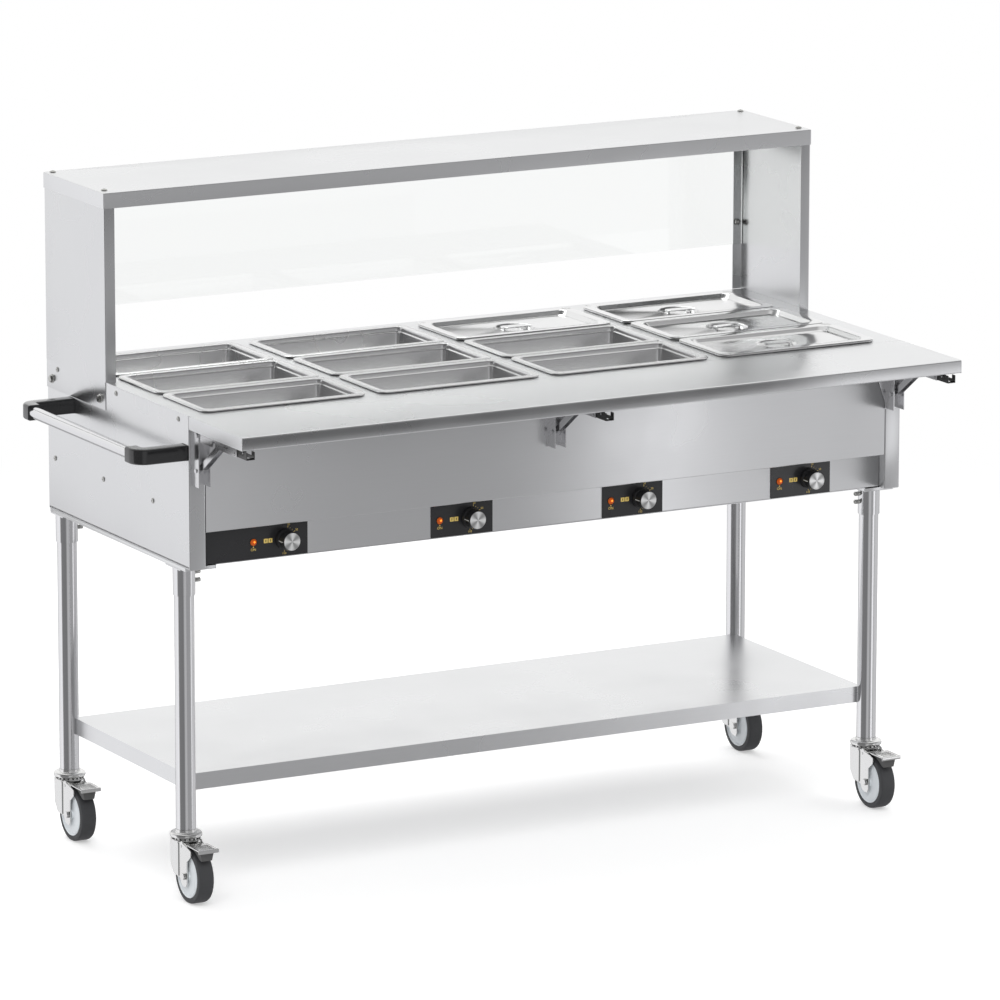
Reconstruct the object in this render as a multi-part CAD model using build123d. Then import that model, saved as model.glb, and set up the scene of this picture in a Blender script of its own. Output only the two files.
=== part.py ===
"""Mobile steam table: cabinet with four wells, overshelf, folding front shelf and braked casters.

Millimetres, +Z up. The layout is worked out with x = 0 on the cabinet's middle plane, y = 0 midway
between the front and rear legs and z = 0 on the floor. The operator's side with the knobs is -Y.
Every piece is then shifted so that the origin lies under the middle of the whole object's box.
"""
from build123d import *
import math
import os

# Cabinet
body_width = 1446.0
body_depth = 577.0
body_bottom_z = 610.0
deck_z = 885.0
sheet = 1.2
post_width = 32.0
side_lip = 15.0
control_recess = 19.0
strip_rise = 2.0
strip_height = 62.0
panel_gap = 0.4
deck_flange = 20.0
tray_drop = 6.5
front_overhang = 69.5

# Wells and gastronorm pans of the one-third size
well_count = 4
well_pitch = 348.0
well_shift = -6.5
pan_length = 325.0
pan_width = 176.0
pan_gap = 4.0
row_names = ("front", "middle", "rear")
pan_row_centre_y = -35.0
pan_depth = 100.0
pan_wall = 0.9
pan_rim_height = 4.0
pan_rim_width = 12.0
pan_corner = 20.0
pan_taper = 10.0
pan_lift_gap = 0.2
rest_overlap = 10.0
well_depth = 190.0
well_wall = 1.0
well_corner = 20.0
well_flange = 7.0
well_clearance = 2.0
lid_sheet = 0.9
lid_rise = 2.5
lid_border = 17.0
lid_pocket_length = 118.0
lid_pocket_width = 56.0
lid_pocket_depth = 9.0
lid_strap_width = 13.0
lid_strap_height = 5.0
lid_gap = 0.2
covered_pans = ((2, "rear"), (3, "front"), (3, "middle"), (3, "rear"))

# Heating, controls and lamps
element_radius = 4.0
element_length = 230.0
element_width = 400.0
control_centres = (-528.0, -158.5, 189.5, 541.0)
plate_sheet = 1.0
plate_right = 44.5
plate_left = 80.0
plate_left_wide = 161.5
plate_margin = 0.8
lamp_offset = 62.0
lamp_radius = 6.0
lamp_depth = 30.0
lamp_proud = 3.0
knob_radius = 17.4
knob_length = 28.0
knob_gap = 1.0
skirt_radius = 18.6
skirt_length = 8.0
shaft_radius = 3.0
shaft_length = 16.0
run_clearance = 0.05
thermostat_width = 46.0
thermostat_height = 38.0
thermostat_depth = 42.0

# Drain and cable entry
drain_y = 150.0
spigot_radius = 10.0
pipe_wall = 1.5
spigot_drop = 26.0
manifold_radius = 13.0
riser_radius = 12.5
branch_radius = 12.0
manifold_rise = 42.0
socket_gap = 0.2
outlet_x = 300.0
valve_gap = 2.0
valve_radius = 17.0
valve_length = 40.0
outlet_radius = 10.5
outlet_length = 20.0
outlet_bore = 7.5
valve_stem_radius = 4.0
valve_stem_height = 9.0
lever_length = 70.0
lever_width = 14.0
lever_corner = 6.7
lever_hub_radius = 8.0
lever_thickness = 3.0
gland_x = -600.0
gland_rise = 40.0
gland_thread_radius = 10.0
gland_hex = 26.0
gland_bore = 5.0
gland_nut = 6.0
gland_dome = 18.0
gland_tail = 12.0

# Overshelf
overshelf_z = 1226.0
overshelf_depth = 250.0
overshelf_back = 4.0
overshelf_flange = 20.0
overshelf_skirt = 28.5
overshelf_lip = 10.0
tongue_drop = 50.5
cover_gap = 0.2
glass_sheet = 4.0
glass_rise = 87.0
glass_side_gap = 1.0
glass_bolt_rise = 42.0
glass_bolt_drop = 66.0
bolt_inset = 12.0

# Fasteners
hex_head = 10.0
hex_height = 5.0
dome_radius = 5.0
dome_height = 3.5
rivet_radius = 3.5
rivet_height = 1.5
shank_radius = 2.5
shank_length = 8.0
tongue_bolt_rise = 17.5
rivet_inset = 40.0
rivet_pitch = 202.0
rivet_row_rise = 97.0
set_screw_radius = 4.0
set_screw_length = 11.0
set_screw_rise = 24.0
set_screw_pitch = 15.0

# Push handle
handle_reach = 89.0
handle_drop = 66.0
handle_front_y = -297.0
handle_span = 460.0
handle_tube_radius = 11.0
handle_tube_wall = 1.2
elbow_height = 28.0
elbow_thickness = 26.0
elbow_radius = 22.0
elbow_tail = 10.0
elbow_socket = 6.0

# Legs, lower shelf and casters
leg_inset = 22.5
rear_overhang = 24.5
leg_radius = 18.0
leg_wall = 1.5
leg_bottom_z = 128.0
sleeve_wall = 2.0
sleeve_drop = 59.0
sleeve_gap = 0.1
sleeve_flange = 66.0
sleeve_flange_sheet = 2.0
lower_shelf_z = 223.0
lower_shelf_inset = 6.5
lower_shelf_skirt = 30.0
lower_shelf_lip = 12.0
notch_gap = 0.1
wheel_radius = 50.0
wheel_width = 30.0
hub_radius = 39.7
hub_dish = 2.5
tread_round = 4.0
caster_trail = 33.0
axle_radius = 4.0
nut_length = 4.0
nut_radius = 6.4
hub_boss_radius = 8.0
race_radius = 29.4
race_bottom_z = 114.3
race_height = 5.0
plug_height = 50.0
plug_gap = 0.2
kingpin_radius = 6.0
kingpin_head_radius = 9.0
fork_gap = 0.3
bearing_height = 3.0
bearing_radius = 24.0
crown_radius = 27.0
crown_sheet = 3.0
fork_sheet = 2.5
fork_gap_inside = 2.5
fork_foot = 11.0
pedal_pivot_y = 17.0
pedal_pivot_z = 104.2
pedal_pin_radius = 1.75
pedal_boss_radius = 3.4
pedal_neck_drop = 1.8
pedal_neck_half = 14.0
pedal_half_width = 20.0
pedal_start_y = 45.5
pedal_end_y = 92.0
pedal_plate_rise = 2.6
pedal_plate_sheet = 3.0
shoe_half_width = 14.0
shoe_bottom_z = 88.0
shoe_gap = 5.5
shoe_inset = 4.0
shoe_overlap = 2.0

# Front shelf and its folding brackets
shelf_depth = 209.0
shelf_flange = 24.0
shelf_lip = 10.0
shelf_gap = 0.4
bracket_inset = 18.0
bracket_sheet = 1.5
channel_inner = 19.8
channel_rise = 5.5
channel_height = 98.0
channel_depth = 25.0
plate_half = 37.0
plate_foot_half = 15.0
plate_rise = 2.0
plate_slope_top = 26.0
plate_slope_bottom = 89.0
pivot_forward = 18.0
pivot_drop = 31.5
pivot_radius = 3.0
strut_pivot_forward = 15.0
strut_pivot_drop = 63.5
strut_pin_radius = 2.5
strut_tip_forward = 102.0
strut_tip_rise = 62.5
strut_outer = 12.4
strut_half_height = 5.5
strut_sheet = 1.2
arm_outer = 19.2
arm_end = 152.0
arm_tail = 9.0
arm_drop = 10.5
arm_web_end = 178.0
latch_notch = 10.0
latch_notch_rise = 1.0
release_pivot_forward = 142.0
release_pivot_drop = 6.5
release_outer = 15.6
release_sheet = 1.2
release_pin_radius = 2.0
release_end = 187.0
release_web = 10.0
release_drop = 3.4
release_rise = 10.5
hook_start = 88.0
hook_width = 8.0
hook_drop = 1.0
hook_rise = 6.4
cheek_rise = 3.0
rivet_head_proud = 1.0
pin_head = 2.0
pin_head_scale = 1.5

# Places that follow from the sizes above
body_half = body_width / 2
leg_span_x = body_width - 2 * leg_inset
leg_span_y = body_depth - front_overhang - rear_overhang
body_front = -(leg_span_y / 2 + front_overhang)
body_rear = body_front + body_depth
deck_under = deck_z - sheet
post_inner = body_half - post_width
strip_y = body_front + control_recess
strip_bottom_z = body_bottom_z + strip_rise
strip_top_z = strip_bottom_z + strip_height
control_z = (strip_bottom_z + strip_top_z) / 2
manifold_z = body_bottom_z + manifold_rise
gland_z = body_bottom_z + gland_rise
pan_rows = len(row_names)
well_field = pan_rows * pan_width + (pan_rows - 1) * pan_gap
deck_hole_length = pan_length - 2 * rest_overlap
deck_hole_width = well_field - 2 * rest_overlap
well_inner_length = deck_hole_length + 2 * well_clearance
well_inner_width = deck_hole_width + 2 * well_clearance
well_bottom_z = deck_under - well_depth
well_centres = [well_shift + (i - (well_count - 1) / 2) * well_pitch for i in range(well_count)]
pan_row_offsets = [(r - (pan_rows - 1) / 2) * (pan_width + pan_gap) for r in range(pan_rows)]
pan_rest_z = deck_z + pan_lift_gap
pan_top_z = pan_rest_z + pan_rim_height
overshelf_rear = body_rear + overshelf_back
overshelf_front = overshelf_rear - overshelf_depth
overshelf_half = body_half + sheet
cover_half = overshelf_half + cover_gap + sheet
glass_bottom_z = deck_z + glass_rise
handle_z = deck_z - handle_drop
handle_x = -(body_half + handle_reach)
handle_rear_y = handle_front_y + handle_span
tray_bottom_z = body_bottom_z - tray_drop
sleeve_bottom_z = body_bottom_z - sleeve_drop
set_screw_low_z = sleeve_bottom_z + set_screw_rise
set_screw_z = (set_screw_low_z + set_screw_pitch, set_screw_low_z)
lower_shelf_length = leg_span_x - 2 * lower_shelf_inset
lower_shelf_width = leg_span_y - 2 * lower_shelf_inset
leg_places = {
    "front_left": (-leg_span_x / 2, -leg_span_y / 2),
    "front_right": (leg_span_x / 2, -leg_span_y / 2),
    "rear_left": (-leg_span_x / 2, leg_span_y / 2),
    "rear_right": (leg_span_x / 2, leg_span_y / 2),
}
bracket_places = (bracket_inset - body_half, 0.0, body_half - bracket_inset)
pivot_y = body_front - pivot_forward
pivot_z = deck_z - pivot_drop
strut_pivot_y = body_front - strut_pivot_forward
strut_pivot_z = pivot_z - strut_pivot_drop
channel_top_z = pivot_z + channel_rise
channel_bottom_z = channel_top_z - channel_height
plate_top_z = channel_top_z + plate_rise
arm_bottom_z = pivot_z - arm_drop
release_pivot_y = pivot_y - release_pivot_forward
release_pivot_z = pivot_z - release_pivot_drop
shelf_front = body_front - shelf_depth
valve_y = body_rear + valve_gap
valve_end_y = valve_y + valve_length
stem_y = valve_y + valve_length / 2
outlet_end_y = valve_end_y + outlet_length

# The origin lies under the middle of the object's box
reach_left = body_half + handle_reach + elbow_thickness / 2
reach_right = overshelf_half + hex_height
middle_x = (reach_right - reach_left) / 2
middle_y = (outlet_end_y + shelf_front) / 2


def block(x, y, z):
    """Box between two values on each axis."""
    centre = [(low + high) / 2 for low, high in (x, y, z)]
    size = [high - low for low, high in (x, y, z)]
    return Pos(*centre) * Box(*size)


def rod(radius, start, end):
    """Round bar between two points."""
    axis = Vector(*end) - Vector(*start)
    foot = (Align.CENTER, Align.CENTER, Align.MIN)
    return Plane(origin=start, z_dir=axis) * Cylinder(radius, axis.length, align=foot)


def pipe(radius, wall, start, end):
    """Round tube between two points."""
    return rod(radius, start, end) - rod(radius - wall, start, end)


def slab(length, width, corner, z, height, x=0.0, y=0.0):
    """Plate with rounded corners that stands on height z."""
    return extrude(Pos(x, y, z) * RectangleRounded(length, width, corner), height)


def plate_yz(points, x, thickness):
    """Flat plate whose outline is given by y and z, centred on x."""
    outline = make_face(Polyline([(x - thickness / 2, y, z) for y, z in points], close=True))
    return extrude(outline, thickness, dir=(1, 0, 0))


def both_sides(shape):
    """The shape and its mirror image across the cabinet's middle plane."""
    return [shape, mirror(shape, Plane.YZ)]


def group(shapes):
    """Several separate solids kept together as one piece of the list."""
    return Compound([solid for shape in shapes for solid in shape.solids()])


# Cabinet

def cabinet_side():
    """Left side panel: outer sheet, front corner post with its return, and a lip under it."""
    outer = -body_half
    panel = block((outer, outer + sheet), (body_front, body_rear), (body_bottom_z, deck_under))
    post = block((outer, -post_inner), (body_front, body_front + sheet), (body_bottom_z, deck_under))
    post_return = (-post_inner - sheet, -post_inner)
    inner = block(post_return, (body_front, strip_y + sheet), (body_bottom_z, deck_under))
    lip_y = (body_front, body_rear - sheet - panel_gap)
    lip = block((outer, outer + side_lip), lip_y, (body_bottom_z, body_bottom_z + sheet))
    return with_holes(panel + post + inner + lip)


def control_holes(x):
    """Bars that cut the spindle's and the lamp's holes through the strip and its dial plate."""
    lamp_x = x - lamp_offset
    front = strip_y - 2 * sheet
    rear = strip_y + 2 * sheet
    spindle_hole = rod(shaft_radius + sheet, (x, front, control_z), (x, rear, control_z))
    return spindle_hole + rod(lamp_radius - sheet, (lamp_x, front, control_z), (lamp_x, rear, control_z))


def front_panel():
    """Upper front sheet, a step back under it and the strip that carries the controls."""
    half = post_inner - panel_gap
    face = body_front + panel_gap
    upper = block((-half, half), (face, face + sheet), (strip_top_z, deck_under))
    step = block((-half, half), (face, strip_y + sheet), (strip_top_z, strip_top_z + sheet))
    strip = block((-half, half), (strip_y, strip_y + sheet), (strip_bottom_z, strip_top_z + sheet))
    lip = block((-half, half), (strip_y, strip_y + side_lip), (strip_bottom_z, strip_bottom_z + sheet))
    panel = upper + step + strip + lip
    for x in control_centres:
        panel -= control_holes(x)
    return panel


def rear_panel():
    """Rear sheet between the sides, with holes for the drain pipe and the cable gland."""
    half = body_half - sheet
    panel = block((-half, half), (body_rear - sheet, body_rear), (body_bottom_z, deck_under))
    for radius, x, z in (
        (branch_radius + socket_gap, outlet_x, manifold_z),
        (gland_thread_radius + run_clearance, gland_x, gland_z),
    ):
        panel -= rod(radius, (x, body_rear - 2 * sheet, z), (x, body_rear + sheet, z))
    return panel


def bottom_panel():
    """Shallow tray that closes the cabinet from below and shows as a lip under the sides."""
    low = tray_bottom_z
    half = body_half - sheet
    front = strip_y + sheet
    rear = body_rear - sheet
    floor = block((-half, half), (front, rear), (low, low + sheet))
    walls = block((-half, half), (front, rear), (low, body_bottom_z))
    walls -= block((-half + sheet, half - sheet), (front + sheet, rear - sheet), (low, body_bottom_z))
    return floor + walls


def top_deck():
    """Deck sheet with a cut-out over each well and a flange down inside the cabinet."""
    deck = block((-body_half, body_half), (body_front, body_rear), (deck_under, deck_z))
    for x in well_centres:
        hole = slab(deck_hole_length, deck_hole_width, well_corner, deck_under, sheet)
        deck -= Pos(x, pan_row_centre_y, 0) * hole
    half = body_half - sheet
    front = body_front + panel_gap + sheet
    rear = body_rear - sheet
    z = (deck_under - deck_flange, deck_under)
    skirt = block((-half, half), (front, rear), z)
    skirt -= block((-half + sheet, half - sheet), (front + sheet, rear - sheet), z)
    for side in (-1, 1):
        x = sorted((side * body_half, side * (post_inner - sheet - panel_gap)))
        skirt -= block(x, (body_front, strip_y + 2 * sheet), z)
    return deck + skirt


def water_well(x):
    """Tank under one cut-out: flange under the deck, walls, floor and a drain spigot."""
    y = pan_row_centre_y
    length = well_inner_length
    width = well_inner_width
    rim = 2 * well_flange
    walls = 2 * well_wall
    corner = well_corner + well_wall
    floor_z = well_bottom_z + well_wall
    tank = slab(length + rim, width + rim, well_corner, deck_under - well_wall, well_wall, x, y)
    tank += slab(length + walls, width + walls, corner, well_bottom_z, well_depth, x, y)
    tank -= slab(length, width, well_corner, floor_z, well_depth, x, y)
    tank += rod(spigot_radius, (x, drain_y, floor_z - spigot_drop), (x, drain_y, floor_z))
    bore = spigot_radius - pipe_wall
    return tank - rod(bore, (x, drain_y, floor_z - spigot_drop), (x, drain_y, floor_z))


def heating_element(x):
    """Bent tubular heater that lies against the underside of one well."""
    z = well_bottom_z - element_radius
    front = pan_row_centre_y - element_width / 2
    rear = drain_y - spigot_radius - 4 * element_radius
    runs = [element_length * (step / 3 - 1 / 2) for step in range(4)]
    points = []
    for index, offset in enumerate(runs):
        ends = (front, rear) if index % 2 == 0 else (rear, front)
        points += [(x + offset, end, z) for end in ends]
    path = FilletPolyline(*points, radius=element_length / 8)
    section = Plane(origin=points[0], z_dir=(0, 1, 0)) * Circle(element_radius)
    return sweep(section, path=path)


def thermostat(x):
    """Regulator body behind the strip with the spindle that the knob turns on."""
    back = strip_y + sheet
    half = thermostat_width / 2
    z = (control_z - thermostat_height / 2, control_z + thermostat_height / 2)
    body = block((x - half, x + half), (back, back + thermostat_depth), z)
    tip = strip_y - plate_sheet - shaft_length
    return body + rod(shaft_radius, (x, tip, control_z), (x, back, control_z))


def indicator_lamp(x):
    """Round lamp: lens in front of the plate and a stem through the strip."""
    lamp_x = x - lamp_offset
    face = strip_y - plate_sheet
    lens = rod(lamp_radius, (lamp_x, face - lamp_proud, control_z), (lamp_x, face, control_z))
    lens = fillet(lens.edges().filter_by(GeomType.CIRCLE).sort_by(Axis.Y)[0], lamp_proud / 2)
    stem = rod(lamp_radius - 2 * sheet, (lamp_x, face, control_z), (lamp_x, face + lamp_depth, control_z))
    return lens + stem


def control_plate(index):
    """Thin dial plate on the strip behind one knob and lamp; the first one is wider."""
    x = control_centres[index]
    left = plate_left_wide if index == 0 else plate_left
    z = (strip_bottom_z + plate_margin, strip_top_z - plate_margin)
    plate = block((x - left, x + plate_right), (strip_y - plate_sheet, strip_y), z)
    return plate - control_holes(x)


def knob(x):
    """Thermostat knob with a skirt and a blind bore over the spindle."""
    back = strip_y - plate_sheet - knob_gap
    front = back - knob_length
    body = rod(knob_radius, (x, front, control_z), (x, back, control_z))
    body = chamfer(body.edges().filter_by(GeomType.CIRCLE).sort_by(Axis.Y)[0], knob_gap)
    body += rod(skirt_radius, (x, back - skirt_length, control_z), (x, back, control_z))
    tip = strip_y - plate_sheet - shaft_length - knob_gap
    return body - rod(shaft_radius + run_clearance, (x, tip, control_z), (x, back, control_z))


# Pans and lids

def rounded_loft(length, width, corner, top_z, bottom_z, taper):
    """Tapered box with round upright corners."""
    top = Pos(0, 0, top_z) * RectangleRounded(length, width, corner)
    bottom = Pos(0, 0, bottom_z) * RectangleRounded(length - 2 * taper, width - 2 * taper, corner)
    return loft([top, bottom], ruled=True)


def pan(x, y):
    """Gastronorm pan that hangs in the well by its rim."""
    length = pan_length - 2 * pan_rim_width
    width = pan_width - 2 * pan_rim_width
    bottom = pan_top_z - pan_depth
    walls = 2 * pan_wall
    corner = pan_corner - pan_wall
    body = rounded_loft(length, width, pan_corner, pan_top_z, bottom, pan_taper)
    rim = slab(pan_length, pan_width, pan_corner, pan_rest_z, pan_rim_height)
    under = slab(pan_length - walls, pan_width - walls, corner, pan_rest_z, pan_rim_height - pan_wall)
    hollow = rounded_loft(length - walls, width - walls, corner, pan_top_z, bottom + pan_wall, pan_taper)
    return Pos(x, y, 0) * ((rim - under) + body - hollow)


def lid(x, y):
    """Flat lid with a raised field, a sunk oval pocket and a strap handle over it."""
    low = pan_top_z + lid_gap
    high = low + lid_rise
    corner = pan_corner - pan_wall
    length = pan_length - 2 * pan_wall
    width = pan_width - 2 * pan_wall
    field = (length - 2 * lid_border, width - 2 * lid_border)
    cover = slab(length, width, corner, low, lid_sheet) + slab(*field, corner, low, lid_rise + lid_sheet)
    cover -= slab(field[0] - 2 * lid_sheet, field[1] - 2 * lid_sheet, corner - lid_sheet, low, lid_rise)
    top = high + lid_sheet
    cup_z = top - lid_pocket_depth
    round_end = lid_pocket_width / 2 - lid_sheet
    cover += slab(lid_pocket_length, lid_pocket_width, round_end + lid_sheet / 2, cup_z, lid_pocket_depth)
    inner = (lid_pocket_length - 2 * lid_sheet, lid_pocket_width - 2 * lid_sheet)
    cover -= slab(*inner, round_end - lid_sheet / 2, cup_z + lid_sheet, lid_pocket_depth)
    half = lid_strap_width / 2
    reach = lid_pocket_width / 2 + half
    tunnel = lid_pocket_width / 2 - lid_sheet
    strap = block((-half, half), (-reach, reach), (top, top + lid_strap_height))
    strap -= block((-half, half), (-tunnel, tunnel), (top, top + lid_strap_height - 2 * lid_sheet))
    return Pos(x, y, 0) * group([cover, strap])


# Drain and cable entry

def drain_manifold():
    """Pipe under the wells, sockets for their spigots and the drain valve's body behind the cabinet."""
    first = (well_centres[0] - 2 * manifold_radius, drain_y, manifold_z)
    last = (well_centres[-1] + 2 * manifold_radius, drain_y, manifold_z)
    socket_top = well_bottom_z - element_radius
    socket_bore = spigot_radius + socket_gap
    out_end = (outlet_x, valve_y, manifold_z)
    branch = (outlet_x, drain_y, manifold_z)
    body = rod(manifold_radius, first, last) + rod(branch_radius, branch, out_end)
    for x in well_centres:
        body += rod(riser_radius, (x, drain_y, manifold_z), (x, drain_y, socket_top))
    bore = manifold_radius - pipe_wall
    bore_start = (first[0] + pipe_wall, drain_y, manifold_z)
    bore_end = (last[0] - pipe_wall, drain_y, manifold_z)
    body -= rod(bore, bore_start, bore_end)
    body -= rod(branch_radius - 2 * pipe_wall, branch, out_end)
    for x in well_centres:
        body -= rod(socket_bore, (x, drain_y, manifold_z), (x, drain_y, socket_top))
    valve_end = (outlet_x, valve_end_y, manifold_z)
    outlet_end = (outlet_x, outlet_end_y, manifold_z)
    body += rod(valve_radius, out_end, valve_end)
    body += rod(outlet_radius, valve_end, outlet_end)
    body -= rod(outlet_bore, valve_end, outlet_end)
    stem_top = manifold_z + valve_radius + valve_stem_height
    return body + rod(valve_stem_radius, (outlet_x, stem_y, manifold_z), (outlet_x, stem_y, stem_top))


def drain_lever():
    """Quarter-turn lever that lies across the closed valve."""
    low = manifold_z + valve_radius + valve_stem_height - 2 * lever_thickness
    foot = (outlet_x, stem_y, low)
    top = (outlet_x, stem_y, low + 2 * lever_thickness)
    middle = outlet_x + (lever_length - lever_width) / 2
    hub = rod(lever_hub_radius, foot, top)
    hub += slab(lever_length, lever_width, lever_corner, low, lever_thickness, middle, stem_y)
    return hub - rod(valve_stem_radius + run_clearance, foot, top)


def cable_gland():
    """Gland with a nut outside, a dome and a threaded tail through the rear panel."""
    face = Plane(origin=(gland_x, body_rear, gland_z), z_dir=(0, 1, 0))
    nut = extrude(face * RegularPolygon(gland_hex / 2, 6), gland_nut)
    tail_y = body_rear - sheet - gland_tail
    dome_y = body_rear + gland_nut + gland_dome
    gland = nut + rod(gland_thread_radius, (gland_x, tail_y, gland_z), (gland_x, dome_y, gland_z))
    return gland - rod(gland_bore, (gland_x, tail_y, gland_z), (gland_x, dome_y, gland_z))


# Overshelf

def overshelf_side():
    """Left upright panel with flanges to the front, rear and top, and a tongue over the cabinet's side."""
    outer = -overshelf_half
    top = overshelf_z - sheet - cover_gap
    inner = outer + overshelf_flange
    y = (overshelf_front, overshelf_rear)
    panel = block((outer, outer + sheet), y, (deck_z - tongue_drop, top))
    panel += block((outer, inner), (y[0], y[0] + sheet), (deck_z, top))
    panel += block((outer, inner), (y[1] - sheet, y[1]), (deck_z, top))
    return with_holes(panel + block((outer, inner), y, (top - sheet, top)))


def overshelf_top():
    """Top shelf: sheet with a skirt all round and a lip along the front."""
    x = (-cover_half, cover_half)
    y = (overshelf_front - cover_gap - sheet, overshelf_rear + cover_gap + sheet)
    z = (overshelf_z - overshelf_skirt, overshelf_z)
    cover = block(x, y, z)
    cover -= block((x[0] + sheet, x[1] - sheet), (y[0] + sheet, y[1] - sheet), (z[0], overshelf_z - sheet))
    span = overshelf_half - overshelf_flange - cover_gap
    cover += block((-span, span), (y[0], y[0] + overshelf_lip), (z[0], z[0] + sheet))
    return with_holes(with_holes(cover, 1), -1)


def glass():
    """Clear screen that stands against the rear flanges in the upper part of the opening."""
    half = overshelf_half - sheet - glass_side_gap
    y = overshelf_rear - sheet
    top = overshelf_z - 4 * sheet
    screen = block((-half, half), (y - glass_sheet, y), (glass_bottom_z, top))
    return with_holes(with_holes(screen, 1), -1)


# Fasteners

def dome(start, direction):
    """Round-headed screw or rivet whose head stands on a face."""
    axis = Vector(*direction)
    tip = Vector(*start) + axis * rivet_height
    head = rod(rivet_radius, start, tuple(tip))
    rims = head.edges().filter_by(GeomType.CIRCLE)
    return chamfer(rims.sort_by(lambda rim: (rim.center() - tip).length)[0], rivet_height / 2)


def bolt(start, direction, head_length):
    """Bolt with a six-sided head outside and its shank inside."""
    axis = Vector(*direction)
    head = extrude(Plane(origin=start, z_dir=axis) * RegularPolygon(hex_head / 2, 6), head_length)
    return head + rod(shank_radius, tuple(Vector(*start) - axis * shank_length), start)


def bolt_places():
    """Where each bolt head of the left half stands and which way it points."""
    tongue_z = deck_z - tongue_drop + tongue_bolt_rise
    top_x = -overshelf_half + bolt_inset
    front = overshelf_front + 2 * bolt_inset
    rear = overshelf_rear - 2 * bolt_inset
    places = [((-overshelf_half, y, tongue_z), (-1, 0, 0)) for y in (front, rear)]
    places += [((top_x, y, overshelf_z), (0, 0, 1)) for y in (front, overshelf_rear - bolt_inset)]
    glass_y = overshelf_rear - sheet - glass_sheet
    bolt_heights = (glass_bottom_z + glass_bolt_rise, overshelf_z - glass_bolt_drop)
    places += [((top_x, glass_y, z), (0, -1, 0)) for z in bolt_heights]
    return places


def with_holes(shape, side=-1):
    """The shape with a hole for each bolt of the left (-1) or right (1) half."""
    for start, direction in bolt_places():
        axis = Vector(*direction)
        inside = Vector(*start) - axis * (shank_length + sheet)
        outside = Vector(*start) + axis * sheet
        hole = rod(shank_radius + run_clearance, tuple(inside), tuple(outside))
        shape -= hole if side < 0 else mirror(hole, Plane.YZ)
    return shape


def panel_fasteners():
    """Bolts, rivets and set screws of the cabinet, overshelf, glass and leg sleeves."""
    left = []
    for start, direction in bolt_places():
        if direction[0]:
            left.append(bolt(start, direction, hex_height))
        else:
            axis = Vector(*direction)
            crown = tuple(Vector(*start) + axis * dome_height)
            end = tuple(Vector(*start) - axis * shank_length)
            left.append(rod(dome_radius, start, crown) + rod(shank_radius, end, start))
    upper_z = deck_z - bolt_inset
    left.append(dome((-overshelf_half, overshelf_rear - 4 * bolt_inset, upper_z), (-1, 0, 0)))
    for y in (overshelf_front - rivet_inset, body_front + rivet_inset):
        left.append(dome((-body_half, y, upper_z), (-1, 0, 0)))
    for step in range(3):
        y = body_rear - rivet_inset + bolt_inset - step * rivet_pitch
        left.append(dome((-body_half, y, body_bottom_z + rivet_row_rise), (-1, 0, 0)))
    face = -leg_span_x / 2 + leg_radius + sleeve_gap
    for y in (-leg_span_y / 2, leg_span_y / 2):
        for z in set_screw_z:
            ends = (face + sleeve_wall / 2, y, z), (face + sleeve_wall + set_screw_length, y, z)
            left.append(rod(set_screw_radius, *ends))
    return group([solid for shape in left for solid in both_sides(shape)])


# Push handle

def elbow(arm_y, direction):
    """Plastic corner of the push handle: arm from the side panel, bend and socket for the tube."""
    end_y = arm_y + direction * (elbow_radius + elbow_tail)
    root = (-body_half, arm_y, handle_z)
    corner = (handle_x, arm_y, handle_z)
    end = (handle_x, end_y, handle_z)
    path = FilletPolyline(root, corner, end, radius=elbow_radius)
    face = Plane(origin=root, x_dir=(0, 1, 0), z_dir=(-1, 0, 0))
    body = sweep(face * Rectangle(elbow_thickness, elbow_height), path=path)
    return body - rod(handle_tube_radius, (handle_x, end_y - direction * elbow_socket, handle_z), end)


def handle_tube():
    """Steel tube between the two plastic corners."""
    inset = elbow_radius + elbow_tail - elbow_socket
    start = (handle_x, handle_front_y + inset, handle_z)
    end = (handle_x, handle_rear_y - inset, handle_z)
    return pipe(handle_tube_radius, handle_tube_wall, start, end)


# Legs, lower shelf and casters

def leg(x, y):
    """Tubular leg from the caster's cup up into its sleeve."""
    top = tray_bottom_z - sleeve_flange_sheet
    return pipe(leg_radius, leg_wall, (x, y, leg_bottom_z), (x, y, top))


def leg_sleeve(x, y):
    """Socket under the cabinet: square flange and a round sleeve with set screw holes."""
    top = tray_bottom_z
    half = sleeve_flange / 2
    outer = leg_radius + sleeve_gap + sleeve_wall
    flange_x = (max(x - half, -body_half), min(x + half, body_half))
    flange_y = (max(y - half, strip_y + sheet), min(y + half, body_rear))
    flange = block(flange_x, flange_y, (top - sleeve_flange_sheet, top))
    sleeve = rod(outer, (x, y, sleeve_bottom_z), (x, y, top)) + flange
    sleeve -= rod(leg_radius + sleeve_gap, (x, y, sleeve_bottom_z), (x, y, top - sleeve_flange_sheet))
    inward = -math.copysign(1, x)
    for z in set_screw_z:
        start = (x + inward * (leg_radius + sleeve_gap + sleeve_wall / 2), y, z)
        sleeve -= rod(set_screw_radius, start, (x + inward * (outer + sleeve_wall), y, z))
    return sleeve


def lower_shelf():
    """Storage shelf with a skirt and lips, notched round the legs at its corners."""
    x = lower_shelf_length / 2
    y = lower_shelf_width / 2
    low = lower_shelf_z - lower_shelf_skirt
    shelf = block((-x, x), (-y, y), (low, lower_shelf_z))
    shelf -= block((-x + sheet, x - sheet), (-y + sheet, y - sheet), (low, lower_shelf_z - sheet))
    for side in (-1, 1):
        lip = sorted((side * y, side * (y - lower_shelf_lip)))
        shelf += block((-x, x), lip, (low, low + sheet))
    notch = leg_radius + notch_gap
    for leg_x, leg_y in leg_places.values():
        shelf -= rod(notch, (leg_x, leg_y, low - sheet), (leg_x, leg_y, lower_shelf_z + sheet))
    return shelf


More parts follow.
